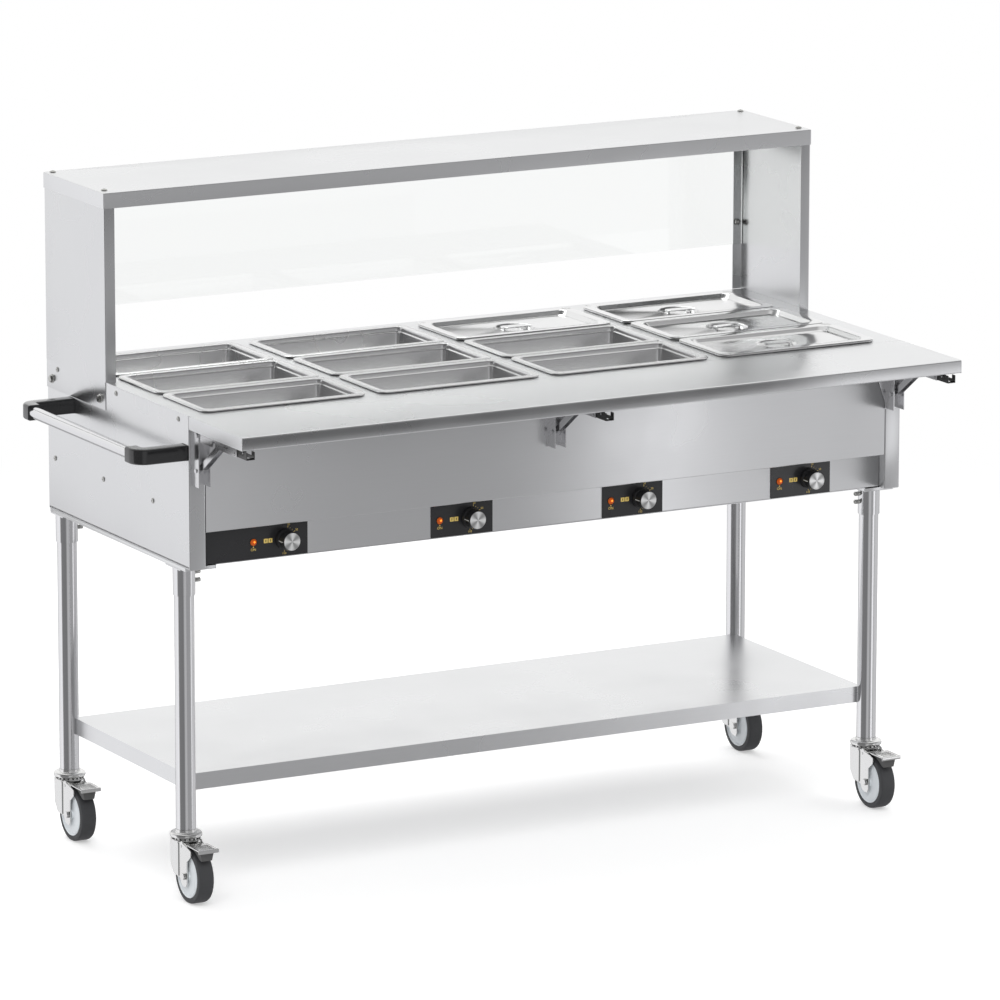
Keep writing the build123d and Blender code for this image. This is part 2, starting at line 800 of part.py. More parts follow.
def caster_stem(x, y):
    """Upper race under the leg, plug inside the leg and the pin that the fork swivels on."""
    low = race_bottom_z
    rim = low + race_height
    race = rod(race_radius, (x, y, low), (x, y, rim))
    cone = Cone(race_radius - race_height / 2, leg_radius, leg_bottom_z - rim)
    cone = Pos(x, y, (rim + leg_bottom_z) / 2) * cone
    plug_radius = leg_radius - leg_wall - plug_gap
    plug = rod(plug_radius, (x, y, leg_bottom_z), (x, y, leg_bottom_z + plug_height))
    head_top = low - fork_gap - bearing_height - crown_sheet - fork_gap
    head_low = head_top - crown_sheet
    pin = rod(kingpin_radius, (x, y, head_low), (x, y, low))
    head = rod(kingpin_head_radius, (x, y, head_low), (x, y, head_top))
    return race + cone + plug + pin + head


def caster_fork(x, y):
    """Swivel fork: bearing ring and crown plate, two cheeks, the axle and the brake's pivot pin."""
    bearing_top = race_bottom_z - fork_gap
    crown_top = bearing_top - bearing_height
    crown_low = crown_top - crown_sheet
    hole = kingpin_radius + run_clearance
    ring = rod(bearing_radius, (x, y, crown_top), (x, y, bearing_top))
    body = ring + rod(crown_radius, (x, y, crown_low), (x, y, crown_top))
    axle_y = y - caster_trail
    inner = wheel_width / 2 + fork_gap_inside
    outline = [
        (y + crown_radius - fork_foot, crown_top),
        (y - crown_radius, crown_top),
        (axle_y - fork_foot, wheel_radius),
        (axle_y - fork_foot / 2, wheel_radius - fork_foot),
        (axle_y + fork_foot / 2, wheel_radius - fork_foot),
        (axle_y + fork_foot, wheel_radius),
    ]
    centre = inner + fork_sheet / 2
    for side in (-1, 1):
        body += plate_yz(outline, x + side * centre, fork_sheet)
    body -= rod(hole, (x, y, crown_low), (x, y, bearing_top))
    outer = inner + fork_sheet
    body += rod(axle_radius, (x - outer, axle_y, wheel_radius), (x + outer, axle_y, wheel_radius))
    for side in (-1, 1):
        cheek = (x + side * outer, axle_y, wheel_radius)
        body += rod(nut_radius, cheek, (x + side * (outer + nut_length), axle_y, wheel_radius))
    pin_y = y - pedal_pivot_y
    pin_ends = (x - outer, pin_y, pedal_pivot_z), (x + outer, pin_y, pedal_pivot_z)
    return body + rod(pedal_pin_radius, *pin_ends)


def caster_wheel(x, y):
    """Wheel: rounded tyre bonded on a dished hub with a bore for the axle."""
    axle_y = y - caster_trail
    half = wheel_width / 2
    left = (x - wheel_width, axle_y, wheel_radius)
    right = (x + wheel_width, axle_y, wheel_radius)
    tyre = rod(wheel_radius, (x - half, axle_y, wheel_radius), (x + half, axle_y, wheel_radius))
    tyre = fillet(tyre.edges().filter_by(GeomType.CIRCLE), tread_round)
    for side in (-1, 1):
        face = x + side * half
        floor = (face - side * hub_dish, axle_y, wheel_radius)
        tyre -= rod(hub_radius, floor, (face, axle_y, wheel_radius))
        tyre += rod(hub_boss_radius, floor, (face + side * hub_dish / 2, axle_y, wheel_radius))
    return tyre - rod(axle_radius + run_clearance, left, right)


def brake_pedal(x, y):
    """Brake pedal: neck on its pivot, foot plate and a shoe held off the tyre."""
    pin_y = y - pedal_pivot_y
    start = y - pedal_start_y
    end = y - pedal_end_y
    low = pedal_pivot_z + pedal_plate_rise
    high = low + pedal_plate_sheet
    half = pedal_neck_half
    neck = block((x - half, x + half), (start, pin_y), (pedal_pivot_z - pedal_neck_drop, low))
    neck += rod(pedal_boss_radius, (x - half, pin_y, pedal_pivot_z), (x + half, pin_y, pedal_pivot_z))
    foot = block((x - pedal_half_width, x + pedal_half_width), (end, start), (low, high))
    shoe_y = (end + shoe_inset, start + shoe_overlap)
    shoe = block((x - shoe_half_width, x + shoe_half_width), shoe_y, (shoe_bottom_z, low))
    axle = (y - caster_trail, wheel_radius)
    shoe -= rod(wheel_radius + shoe_gap, (x - wheel_width, *axle), (x + wheel_width, *axle))
    pin_ends = (x - half, pin_y, pedal_pivot_z), (x + half, pin_y, pedal_pivot_z)
    return neck + foot + shoe - rod(pedal_pin_radius + run_clearance, *pin_ends)


# Front shelf and its folding brackets

def front_shelf():
    """Folding shelf: sheet with flanges to the front and sides and a lip under the front."""
    rear = body_front - shelf_gap
    low = deck_z - shelf_flange
    shelf = block((-body_half, body_half), (shelf_front, rear), (deck_under, deck_z))
    shelf += block((-body_half, body_half), (shelf_front, shelf_front + sheet), (low, deck_z))
    lip = (-body_half + sheet, body_half - sheet)
    shelf += block(lip, (shelf_front, shelf_front + shelf_lip), (low, low + sheet))
    for side in (-1, 1):
        x = sorted((side * body_half, side * (body_half - sheet)))
        shelf += block(x, (shelf_front, rear), (low, deck_z))
    return shelf


def bracket_channel(x):
    """Wall plate with a channel, the hinge pin for the arm and the pin for the strut."""
    y = body_front
    left = plate_foot_half if x < 0 else plate_half
    right = plate_foot_half if x > 0 else plate_half
    high = plate_top_z - plate_slope_top
    low = plate_top_z - plate_slope_bottom
    outline = [
        (x - left, plate_top_z),
        (x - left, high),
        (x - plate_foot_half, low),
        (x - plate_foot_half, channel_bottom_z),
        (x + plate_foot_half, channel_bottom_z),
        (x + plate_foot_half, low),
        (x + right, high),
        (x + right, plate_top_z),
    ]
    face = make_face(Polyline([(px, y, pz) for px, pz in outline], close=True))
    wall = extrude(face, bracket_sheet, dir=(0, -1, 0))
    inner = channel_inner / 2
    outer = inner + bracket_sheet
    for side in (-1, 1):
        flange = sorted((x + side * inner, x + side * outer))
        wall += block(flange, (y - channel_depth, y), (channel_bottom_z, channel_top_z))
    for radius, pin_y, pin_z in (
        (pivot_radius, pivot_y, pivot_z),
        (strut_pin_radius, strut_pivot_y, strut_pivot_z),
    ):
        wall += rod(radius, (x - outer, pin_y, pin_z), (x + outer, pin_y, pin_z))
        for side in (-1, 1):
            head = (x + side * (outer + pin_head), pin_y, pin_z)
            wall += rod(pin_head_scale * radius, (x + side * outer, pin_y, pin_z), head)
    return wall


def shelf_arm(x):
    """Channel under the shelf that turns on the hinge pin and carries the release lever's rivets."""
    tail = pivot_y + arm_tail
    end = pivot_y - arm_end
    half = arm_outer / 2
    web_z = (deck_under - bracket_sheet, deck_under)
    arm = block((x - half, x + half), (pivot_y - arm_web_end, tail), web_z)
    for side in (-1, 1):
        flange = sorted((x + side * half, x + side * (half - bracket_sheet)))
        arm += block(flange, (end, tail), (arm_bottom_z, deck_under))
    hole = pivot_radius + run_clearance
    arm -= rod(hole, (x - arm_outer, pivot_y, pivot_z), (x + arm_outer, pivot_y, pivot_z))
    latch_y = pivot_y - (pivot_z - strut_pivot_z)
    notch_y = (latch_y - latch_notch / 2, latch_y + latch_notch / 2)
    arm -= block((x - arm_outer, x + arm_outer), notch_y, (arm_bottom_z, pivot_z + latch_notch_rise))
    pin_y = release_pivot_y
    pin_z = release_pivot_z
    cheek = release_outer / 2 - release_sheet
    for side in (-1, 1):
        face = (x + side * half, pin_y, pin_z)
        arm += rod(release_pin_radius, (x + side * cheek, pin_y, pin_z), face)
        arm += rod(2 * release_pin_radius, face, (x + side * (half + rivet_head_proud), pin_y, pin_z))
    return arm


def shelf_strut(x):
    """Channel strut between the wall channel and the arm, with its short upper pin."""
    foot = Vector(0, strut_pivot_y, strut_pivot_z)
    tip = Vector(0, body_front - strut_tip_forward, strut_pivot_z + strut_tip_rise)
    along = (tip - foot).normalized()
    across = Vector(0, along.Z, -along.Y)
    up = across if across.Z > 0 else across * -1
    end = strut_half_height

    def corner(base, reach, rise):
        point = base + along * reach + up * rise
        return (point.Y, point.Z)

    def bar(low, high, centre, width):
        foot_end = [corner(foot, -end, high), corner(foot, -end, low)]
        tip_end = [corner(tip, end, low), corner(tip, end, high)]
        return plate_yz(foot_end + tip_end, centre, width)

    body = bar(end - strut_sheet, end, x, strut_outer)
    for side in (-1, 1):
        body += bar(-end, end, x + side * (strut_outer - strut_sheet) / 2, strut_sheet)
    body += rod(strut_pin_radius, (x - strut_outer / 2, tip.Y, tip.Z), (x + strut_outer / 2, tip.Y, tip.Z))
    hole = strut_pin_radius + run_clearance
    return body - rod(hole, (x - strut_outer, foot.Y, foot.Z), (x + strut_outer, foot.Y, foot.Z))


def release_lever(x):
    """Release lever: two cheeks with hooks behind the strut pin, joined by a finger pad at the front."""
    front = pivot_y - release_end
    pad_rear = front + release_web
    hook_rear = pivot_y - hook_start
    hook_front = hook_rear - hook_width
    low = release_pivot_z - release_drop
    top = release_pivot_z + release_rise
    hook_low = release_pivot_z - hook_drop
    hook_top = release_pivot_z + hook_rise
    cheek_top = release_pivot_z + cheek_rise
    outline = [
        (front, low),
        (pad_rear, low),
        (hook_front, low),
        (hook_rear, hook_low),
        (hook_rear, hook_top),
        (hook_front, hook_top),
        (hook_front, cheek_top),
        (pad_rear, cheek_top),
        (pad_rear, top),
        (front, top),
    ]
    half = release_outer / 2
    pad_z = (low, low + release_sheet)
    body = block((x - half, x + half), (front, pad_rear), pad_z)
    for side in (-1, 1):
        body += plate_yz(outline, x + side * (half - release_sheet / 2), release_sheet)
    hole = release_pin_radius + run_clearance
    left = (x - half, release_pivot_y, release_pivot_z)
    return body - rod(hole, left, (x + half, release_pivot_y, release_pivot_z))


def build():
    """All pieces by name, still in the layout's frame."""
    pieces = {
        "cabinet_sides": group(both_sides(cabinet_side())),
        "front_panel": front_panel(),
        "rear_panel": rear_panel(),
        "bottom_panel": bottom_panel(),
        "top_deck": top_deck(),
        "water_wells": group([water_well(x) for x in well_centres]),
        "heating_elements": group([heating_element(x) for x in well_centres]),
        "thermostats": group([thermostat(x) for x in control_centres]),
        "indicator_lamps": group([indicator_lamp(x) for x in control_centres]),
        "control_plates": group([control_plate(i) for i in range(len(control_centres))]),
        "drain_manifold": drain_manifold(),
        "drain_lever": drain_lever(),
        "cable_gland": cable_gland(),
        "overshelf_sides": group(both_sides(overshelf_side())),
        "overshelf_top": overshelf_top(),
        "glass_screen": glass(),
        "panel_fasteners": panel_fasteners(),
        "handle_elbows": group([elbow(handle_front_y, 1), elbow(handle_rear_y, -1)]),
        "handle_tube": handle_tube(),
        "leg_sleeves": group([leg_sleeve(x, y) for x, y in leg_places.values()]),
        "legs": group([leg(x, y) for x, y in leg_places.values()]),
        "lower_shelf": lower_shelf(),
        "caster_stems": group([caster_stem(x, y) for x, y in leg_places.values()]),
        "front_shelf": front_shelf(),
        "shelf_arms": group([shelf_arm(x) for x in bracket_places]),
        "bracket_channels": group([bracket_channel(x) for x in bracket_places]),
        "shelf_struts": group([shelf_strut(x) for x in bracket_places]),
        "release_levers": group([release_lever(x) for x in bracket_places]),
    }
    for index, x in enumerate(control_centres):
        pieces[f"knob_{index + 1}"] = knob(x)
    for name, (x, y) in leg_places.items():
        pieces[f"caster_fork_{name}"] = caster_fork(x, y)
        pieces[f"caster_wheel_{name}"] = caster_wheel(x, y)
        pieces[f"brake_pedal_{name}"] = brake_pedal(x, y)
    for column, x in enumerate(well_centres):
        for row, offset in zip(row_names, pan_row_offsets):
            y = pan_row_centre_y + offset
            pieces[f"pan_{column + 1}_{row}"] = pan(x, y)
            if (column, row) in covered_pans:
                pieces[f"lid_{column + 1}_{row}"] = lid(x, y)
    return pieces


def main():
    """Shift every piece to the origin and write it out."""
    os.makedirs("parts", exist_ok=True)
    shift = Pos(-middle_x, -middle_y, 0)
    for name, piece in build().items():
        export_step(shift * piece, os.path.join("parts", f"{name}.step"))


main()
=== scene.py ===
"""Looks of a mobile steam table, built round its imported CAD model.

Lengths are in millimetres in the workshop layout: x = 0 on the cabinet's middle plane, y = 0 midway
between the front and rear legs, z = 0 on the floor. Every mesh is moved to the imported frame, in
metres, when it is written. The operator's side with the knobs is -Y.
"""
from __future__ import annotations

import logging
import math
from dataclasses import dataclass, field
from enum import Enum
from typing import Callable, Sequence

import bmesh
import bpy
import numpy as np
import numpy.typing as npt
from mathutils import Matrix, Vector

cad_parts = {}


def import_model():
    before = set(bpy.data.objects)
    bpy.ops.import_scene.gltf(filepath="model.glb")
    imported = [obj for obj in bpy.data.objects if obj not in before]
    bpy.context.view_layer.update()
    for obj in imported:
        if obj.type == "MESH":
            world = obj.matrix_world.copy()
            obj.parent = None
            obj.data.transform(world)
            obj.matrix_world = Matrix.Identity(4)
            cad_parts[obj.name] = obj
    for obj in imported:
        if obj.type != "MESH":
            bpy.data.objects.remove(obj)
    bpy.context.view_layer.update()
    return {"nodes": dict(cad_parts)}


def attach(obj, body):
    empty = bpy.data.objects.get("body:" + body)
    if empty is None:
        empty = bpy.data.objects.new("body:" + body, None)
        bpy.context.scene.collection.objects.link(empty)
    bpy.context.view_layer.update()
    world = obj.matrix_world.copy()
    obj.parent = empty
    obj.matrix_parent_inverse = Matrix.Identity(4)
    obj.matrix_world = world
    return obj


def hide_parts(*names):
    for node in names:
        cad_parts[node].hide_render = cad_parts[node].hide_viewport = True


Array = npt.NDArray[np.float64]
Colour = tuple[float, float, float]
Span = tuple[float, float]

LOG = logging.getLogger("steam_table")
MIDDLE = np.array([47.9, 96.0, 0.0])
MM = 0.001
SHARP_ANGLE = math.radians(38.0)
WELD = 1e-7
WHITE = (1.0, 1.0, 1.0, 1.0)

# Layout shared with the CAD model
BODY_HALF = 723.0
BODY_FRONT = -311.0
BODY_REAR = 266.0
BODY_BOTTOM = 610.0
DECK_TOP = 885.0
SHEET = 1.2
POST_INNER = 691.0
STRIP_Y = -292.0
STRIP_BOTTOM = 612.0
STRIP_TOP = 674.0
CONTROL_Z = 643.0
PLATE_SHEET = 1.0
KNOB_X = (-528.0, -158.5, 189.5, 541.0)
LAMP_OFFSET = 62.0
LEG_X = 700.5
LEG_Y = 241.5
BRACKET_X = (-705.0, 0.0, 705.0)
PAN_Z = 885.2
PAN_X = (-528.5, -180.5, 167.5, 515.5)
PAN_ROWS = {"front": -215.0, "middle": -35.0, "rear": 145.0}
COVERED = ("3_rear", "4_front", "4_middle", "4_rear")
CORNERS = {
    "front_left": (-LEG_X, -LEG_Y),
    "front_right": (LEG_X, -LEG_Y),
    "rear_left": (-LEG_X, LEG_Y),
    "rear_right": (LEG_X, LEG_Y),
}


class Axis(Enum):
    """Direction of a turned axis or of a long run."""

    X = 0
    Y = 1
    Z = 2


class Grain(Enum):
    """Direction of a brushed finish, as stretch factors of its noise along x, y and z."""

    ALONG_X = (0.02, 1.0, 1.0)
    ALONG_Y = (1.0, 0.02, 1.0)
    ALONG_Z = (1.0, 1.0, 0.02)
    NONE = (1.0, 1.0, 1.0)


# Meshes

def show(thing: bpy.types.Object) -> None:
    """Links an object to the scene."""
    bpy.context.scene.collection.objects.link(thing)


def turned(points: Array, axis: Axis) -> Array:
    """Points whose third coordinate runs along an axis, put in x, y, z order.

    Args:
        points: Array of shape (..., 3) holding two cross coordinates and the run.
        axis: The axis that the run lies along.

    Returns:
        The same points in x, y, z order.
    """
    order = {Axis.X: (2, 0, 1), Axis.Y: (1, 2, 0), Axis.Z: (0, 1, 2)}[axis]
    return points[..., list(order)]


def rounded_path(corners: Sequence[tuple[float, float]], radius: float, steps: int = 5) -> Array:
    """Polyline with each inner corner replaced by an arc.

    The arc of a corner is centre + radius * (cos a, sin a), with a running evenly between the two
    tangent points, which lie radius * tan(turn / 2) from the corner.

    Args:
        corners: Corner points in a plane.
        radius: Radius of every arc.
        steps: Number of segments of an arc.

    Returns:
        Points of shape (n, 2).
    """
    given = np.asarray(corners, float)
    out = [given[:1]]
    for before, corner, after in zip(given[:-2], given[1:-1], given[2:]):
        back = (before - corner) / np.linalg.norm(before - corner)
        ahead = (after - corner) / np.linalg.norm(after - corner)
        half = 0.5 * math.acos(float(np.clip(back @ ahead, -1.0, 1.0)))
        middle = (back + ahead) / np.linalg.norm(back + ahead)
        centre = corner + middle * radius / math.sin(half)
        reach = radius / math.tan(half)
        start = corner + back * reach - centre
        end = corner + ahead * reach - centre
        share = np.linspace(0.0, 1.0, steps + 1)[:, None]
        spread = math.acos(float(np.clip(start @ end / radius**2, -1.0, 1.0)))
        arc = (np.sin((1 - share) * spread) * start + np.sin(share * spread) * end) / math.sin(spread)
        out.append(centre + arc)
    out.append(given[-1:])
    return np.concatenate(out)


def round_corner_ring(half_x: float, half_y: float, corner: float, steps: int = 6) -> Array:
    """Closed rectangle with round corners.

    Each corner is a quarter circle of the given radius about a centre that lies that radius inside
    both sides, and the four arcs are joined by straight sides.

    Args:
        half_x: Half the length.
        half_y: Half the width.
        corner: Corner radius.
        steps: Segments of each quarter circle.

    Returns:
        Points of shape (4 * (steps + 1), 2), counter-clockwise.
    """
    corner = min(corner, half_x, half_y)
    angles = np.linspace(0.0, math.pi / 2, steps + 1)
    signs = np.array([(1, 1), (-1, 1), (-1, -1), (1, -1)], float)
    turn = np.arange(4)[:, None] * math.pi / 2 + angles[None, :]
    arcs = np.stack([np.cos(turn), np.sin(turn)], axis=-1) * corner
    centres = signs * np.array([half_x - corner, half_y - corner])
    return (arcs + centres[:, None, :]).reshape(-1, 2)


def circle(radius: float, count: int, start: float = 0.0) -> Array:
    """Points of a circle, counter-clockwise, as an array of shape (count, 2)."""
    angles = start + np.arange(count) * (2 * math.pi / count)
    return np.stack([np.cos(angles), np.sin(angles)], axis=-1) * radius


@dataclass
class Skin:
    """Vertices and faces gathered for one piece, in millimetres of the layout.

    Attributes:
        points: Arrays of vertices.
        faces: Vertex indices of each face.
        finishes: Material index of each face.
        count: Number of vertices gathered so far.
    """

    points: list[Array] = field(default_factory=list)
    faces: list[tuple[int, ...]] = field(default_factory=list)
    finishes: list[int] = field(default_factory=list)
    count: int = 0

    def _take(self, points: Array, faces: list[tuple[int, ...]], finish: int) -> None:
        """Adds vertices and the faces on them.

        Args:
            points: Vertices of shape (n, 3).
            faces: Faces that count from the first of these vertices.
            finish: Material index.
        """
        self.points.append(np.asarray(points, float))
        self.faces += [tuple(i + self.count for i in face) for face in faces]
        self.finishes += [finish] * len(faces)
        self.count += len(points)

    def grid(self, points: Array, wrap_rows: bool = False, wrap_columns: bool = True,
             caps: bool = True, finish: int = 0) -> "Skin":
        """Adds a surface whose vertices form a grid, one quad for each cell.

        Args:
            points: Array of shape (rows, columns, 3).
            wrap_rows: Whether the last row joins the first.
            wrap_columns: Whether the last column joins the first.
            caps: Whether the first and last rows are closed with a face each.
            finish: Material index.

        Returns:
            The skin itself.
        """
        rows, columns = points.shape[:2]
        i = np.arange(rows if wrap_rows else rows - 1)[:, None]
        j = np.arange(columns if wrap_columns else columns - 1)[None, :]
        below, beside = (i + 1) % rows, (j + 1) % columns
        quads = np.stack(
            np.broadcast_arrays(i * columns + j, i * columns + beside, below * columns + beside,
                                below * columns + j),
            axis=-1,
        )
        faces = [tuple(quad) for quad in quads.reshape(-1, 4).tolist()]
        if caps and not wrap_rows:
            faces.append(tuple(range(columns)))
            faces.append(tuple(range((rows - 1) * columns, rows * columns)))
        self._take(points.reshape(-1, 3), faces, finish)
        return self

    def turn(self, profile: Sequence[tuple[float, float]], centre: Sequence[float], axis: Axis,
             count: int = 48, start: float = 0.0, closed: bool = False, finish: int = 0) -> "Skin":
        """Adds a surface of revolution: radius times (cos a, sin a), and the height along the axis.

        Args:
            profile: Pairs of radius and height. A radius of zero closes the end.
            centre: Point of the axis at height zero.
            axis: Axis of revolution.
            count: Number of columns.
            start: Angle of the first column.
            closed: Whether the profile is a closed loop, as for a ring.
            finish: Material index.

        Returns:
            The skin itself.
        """
        radius, height = np.asarray(profile, float).T
        ring = circle(1.0, count, start)
        points = np.empty((len(radius), count, 3))
        points[..., :2] = radius[:, None, None] * ring[None]
        points[..., 2] = height[:, None]
        points = turned(points, axis) + np.asarray(centre, float)
        return self.grid(points, wrap_rows=closed, caps=False, finish=finish)

    def rings(self, levels: Sequence[tuple[float, float, float, float]], centre: Sequence[float],
              steps: int = 6, closed: bool = False, finish: int = 0, axis: Axis = Axis.Z) -> "Skin":
        """Adds a surface that runs through round-cornered rectangles.

        Args:
            levels: Half length, half width, corner radius and height of each rectangle.
            centre: Point that the rectangles are centred on.
            steps: Segments of each corner.
            closed: Whether the last rectangle joins the first, as for a wall with thickness.
            finish: Material index.
            axis: Axis that the heights run along.

        Returns:
            The skin itself.
        """
        flat = np.stack([round_corner_ring(hx, hy, corner, steps) for hx, hy, corner, _ in levels])
        height = np.asarray([level[3] for level in levels], float)
        points = np.empty(flat.shape[:2] + (3,))
        points[..., :2] = flat
        points[..., 2] = height[:, None]
        points = turned(points, axis) + np.asarray(centre, float)
        return self.grid(points, wrap_rows=closed, caps=not closed, finish=finish)

    def slab(self, half: Span, corner: float, z: Span, centre: Sequence[float], soft: float = 0.5,
             axis: Axis = Axis.Z, steps: int = 5, finish: int = 0) -> "Skin":
        """Adds a plate with round corners and softened edges.

        Args:
            half: Half length and half width.
            corner: Corner radius.
            z: Lower and upper height.
            centre: Point that the plate is centred on.
            soft: Size of the softened edge.
            axis: Axis across the plate.
            steps: Segments of each corner.
            finish: Material index.

        Returns:
            The skin itself.
        """
        soft = min(soft, 0.49 * (z[1] - z[0]), 0.49 * min(half))
        cuts = ((soft, 0.0), (0.3 * soft, 0.3 * soft), (0.0, soft))
        levels = [(half[0] - a, half[1] - a, max(corner - a, 0.05), z[0] + b) for a, b in cuts]
        levels += [(half[0] - a, half[1] - a, max(corner - a, 0.05), z[1] - b) for a, b in reversed(cuts)]
        return self.rings(levels, centre, steps, finish=finish, axis=axis)

    def fold(self, corners: Sequence[tuple[float, float]], sheet: float, radius: float, run: Span,
             axis: Axis, finish: int = 0, soft: tuple[bool, bool] = (True, True)) -> "Skin":
        """Adds a folded sheet: its middle line with round bends, half the sheet to each side of it.

        Args:
            corners: Corner points of the middle line, in the plane across the run.
            sheet: Sheet thickness.
            radius: Radius of the middle line in a bend.
            run: Where the sheet starts and ends along the axis.
            axis: Axis that the sheet runs along.
            finish: Material index.
            soft: Whether the start and the end have softened edges.

        Returns:
            The skin itself.
        """
        line = rounded_path(corners, radius) if len(corners) > 2 else np.asarray(corners, float)
        along = np.gradient(line, axis=0)
        along /= np.linalg.norm(along, axis=1)[:, None]
        side = np.stack([-along[:, 1], along[:, 0]], axis=-1) * sheet / 2
        quarter = 0.3 * sheet
        cuts = (run[0], run[0] + quarter, run[1] - quarter, run[1])
        rows = []
        shares = (0.55 if soft[0] else 1.0, 1.0, 1.0, 0.55 if soft[1] else 1.0)
        for share, at in zip(shares, cuts):
            outline = np.concatenate([line + side * share, (line - side * share)[::-1]])
            rows.append(np.concatenate([outline, np.full((len(outline), 1), at)], axis=1))
        points = turned(np.stack(rows), axis)
        count = len(line)
        self.grid(points, caps=False, finish=finish)
        first = self.count - points.shape[0] * points.shape[1]
        near = np.arange(count - 1)
        far = 2 * count - 1 - near
        for base in (first, first + 3 * 2 * count):
            cap = np.stack([near, near + 1, far - 1, far], axis=-1) + base
            self.faces += [tuple(face) for face in cap.tolist()]
            self.finishes += [finish] * (count - 1)
        return self

    def sweep(self, section: Array, path: Array, up: Sequence[float], finish: int = 0,
              scale: Array | None = None) -> "Skin":
        """Adds a section carried along a path: path + u * side + v * up at each point.

        Args:
            section: Closed outline of shape (m, 2): across and up.
            path: Points of shape (n, 3).
            up: Direction that stays the section's second axis.
            finish: Material index.
            scale: Size of the section at each point of the path.

        Returns:
            The skin itself.
        """
        along = np.gradient(path, axis=0)
        along /= np.linalg.norm(along, axis=1)[:, None]
        rise = np.broadcast_to(np.asarray(up, float), path.shape)
        side = np.cross(along, rise)
        side /= np.linalg.norm(side, axis=1)[:, None]
        rise = np.cross(side, along)
        size = np.ones(len(path)) if scale is None else scale
        points = path[:, None, :] + size[:, None, None] * (
            section[None, :, :1] * side[:, None, :] + section[None, :, 1:] * rise[:, None, :]
        )
        return self.grid(points, finish=finish)

    def plate(self, outline: Array, run: Span, axis: Axis, soft: float = 0.3, finish: int = 0) -> "Skin":
        """Adds a flat plate cut to an outline, with its edges softened by a slightly smaller end row.

        Args:
            outline: Closed outline of shape (n, 2) in the plane across the axis.
            run: Lower and upper face along the axis.
            axis: Axis across the plate.
            soft: Size of the softened edge.
            finish: Material index.

        Returns:
            The skin itself.
        """
        ahead = np.roll(outline, -1, axis=0) - outline
        ahead /= np.linalg.norm(ahead, axis=1)[:, None] + 1e-12
        back = np.roll(ahead, 1, axis=0)
        area = np.sum(outline[:, 0] * np.roll(outline[:, 1], -1) - outline[:, 1] * np.roll(outline[:, 0], -1))
        inward = np.stack([-(ahead + back)[:, 1], (ahead + back)[:, 0]], axis=-1)
        inward *= math.copysign(1.0, area) / (np.linalg.norm(inward, axis=1)[:, None] + 1e-12)
        rows = []
        for shrink, at in ((soft, run[0]), (0.0, run[0] + soft), (0.0, run[1] - soft), (soft, run[1])):
            ring = outline + inward * shrink
            rows.append(np.concatenate([ring, np.full((len(ring), 1), at)], axis=1))
        return self.grid(turned(np.stack(rows), axis), finish=finish)

    def ball(self, radius: float, centre: Sequence[float], finish: int = 0) -> "Skin":
        """Adds a small sphere: radius * sin a round the axis and radius * cos a along it."""
        angles = np.linspace(0.0, math.pi, 7)
        profile = list(zip((radius * np.sin(angles)).tolist(), (-radius * np.cos(angles)).tolist()))
        return self.turn(profile, centre, Axis.Z, 10, finish=finish)

    def uncap(self, columns: int, join: bool = False) -> "Skin":
        """Opens a shell made of an outer and an inner surface: drops its first cap and its last one.

        Args:
            columns: Points of a row.
            join: Whether quads join the two open rows, which otherwise lie on each other.

        Returns:
            The skin itself.
        """
        last = self.count - columns
        drop = {tuple(range(columns)), tuple(range(last, self.count))}
        kept = [(face, finish) for face, finish in zip(self.faces, self.finishes) if face not in drop]
        self.faces = [face for face, _ in kept]
        self.finishes = [finish for _, finish in kept]
        if join:
            near = np.arange(columns)
            beside = (near + 1) % columns
            rim = np.stack([near, beside, last + beside, last + near], axis=-1)
            self.faces += [tuple(face) for face in rim.tolist()]
            self.finishes += [0] * columns
        return self

    def joined(self, other: "Skin", mirror: float = 1.0) -> "Skin":
        """Adds another skin, or its mirror image across the cabinet's middle plane for mirror = -1."""
        shift = self.count
        self.points += [points * np.array([mirror, 1.0, 1.0]) for points in other.points]
        self.faces += [tuple(i + shift for i in face) for face in other.faces]
        self.finishes += list(other.finishes)
        self.count += other.count
        return self

    def both(self) -> "Skin":
        """The skin with its own mirror image added."""
        half = Skin(list(self.points), list(self.faces), list(self.finishes), self.count)
        return self.joined(half, -1.0)

    def make(self, name: str, finishes: Sequence[bpy.types.Material],
             face_centre: tuple[float, float] | None = None) -> bpy.types.Object:
        """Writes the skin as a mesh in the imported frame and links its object.

        Args:
            name: Name of the piece.
            finishes: Materials in the order of the material indices.
            face_centre: Middle in x and z of a face that gets flat texture coordinates.

        Returns:
            The object, untransformed.
        """
        mesh = bpy.data.meshes.new(name)
        points = (np.concatenate(self.points) + MIDDLE) * MM
        mesh.from_pydata(points.tolist(), [], self.faces)
        mesh.polygons.foreach_set("material_index", np.asarray(self.finishes, np.int32))
        work = bmesh.new()
        work.from_mesh(mesh)
        bmesh.ops.remove_doubles(work, verts=work.verts, dist=WELD)
        bmesh.ops.dissolve_degenerate(work, edges=work.edges, dist=WELD)
        bmesh.ops.recalc_face_normals(work, faces=work.faces)
        work.to_mesh(mesh)
        work.free()
        mesh.shade_smooth()
        mesh.set_sharp_from_angle(angle=SHARP_ANGLE)
        if face_centre is not None:
            self._flat_coordinates(mesh, face_centre)
        for material in finishes:
            mesh.materials.append(material)
        piece = bpy.data.objects.new(name, mesh)
        show(piece)
        return piece

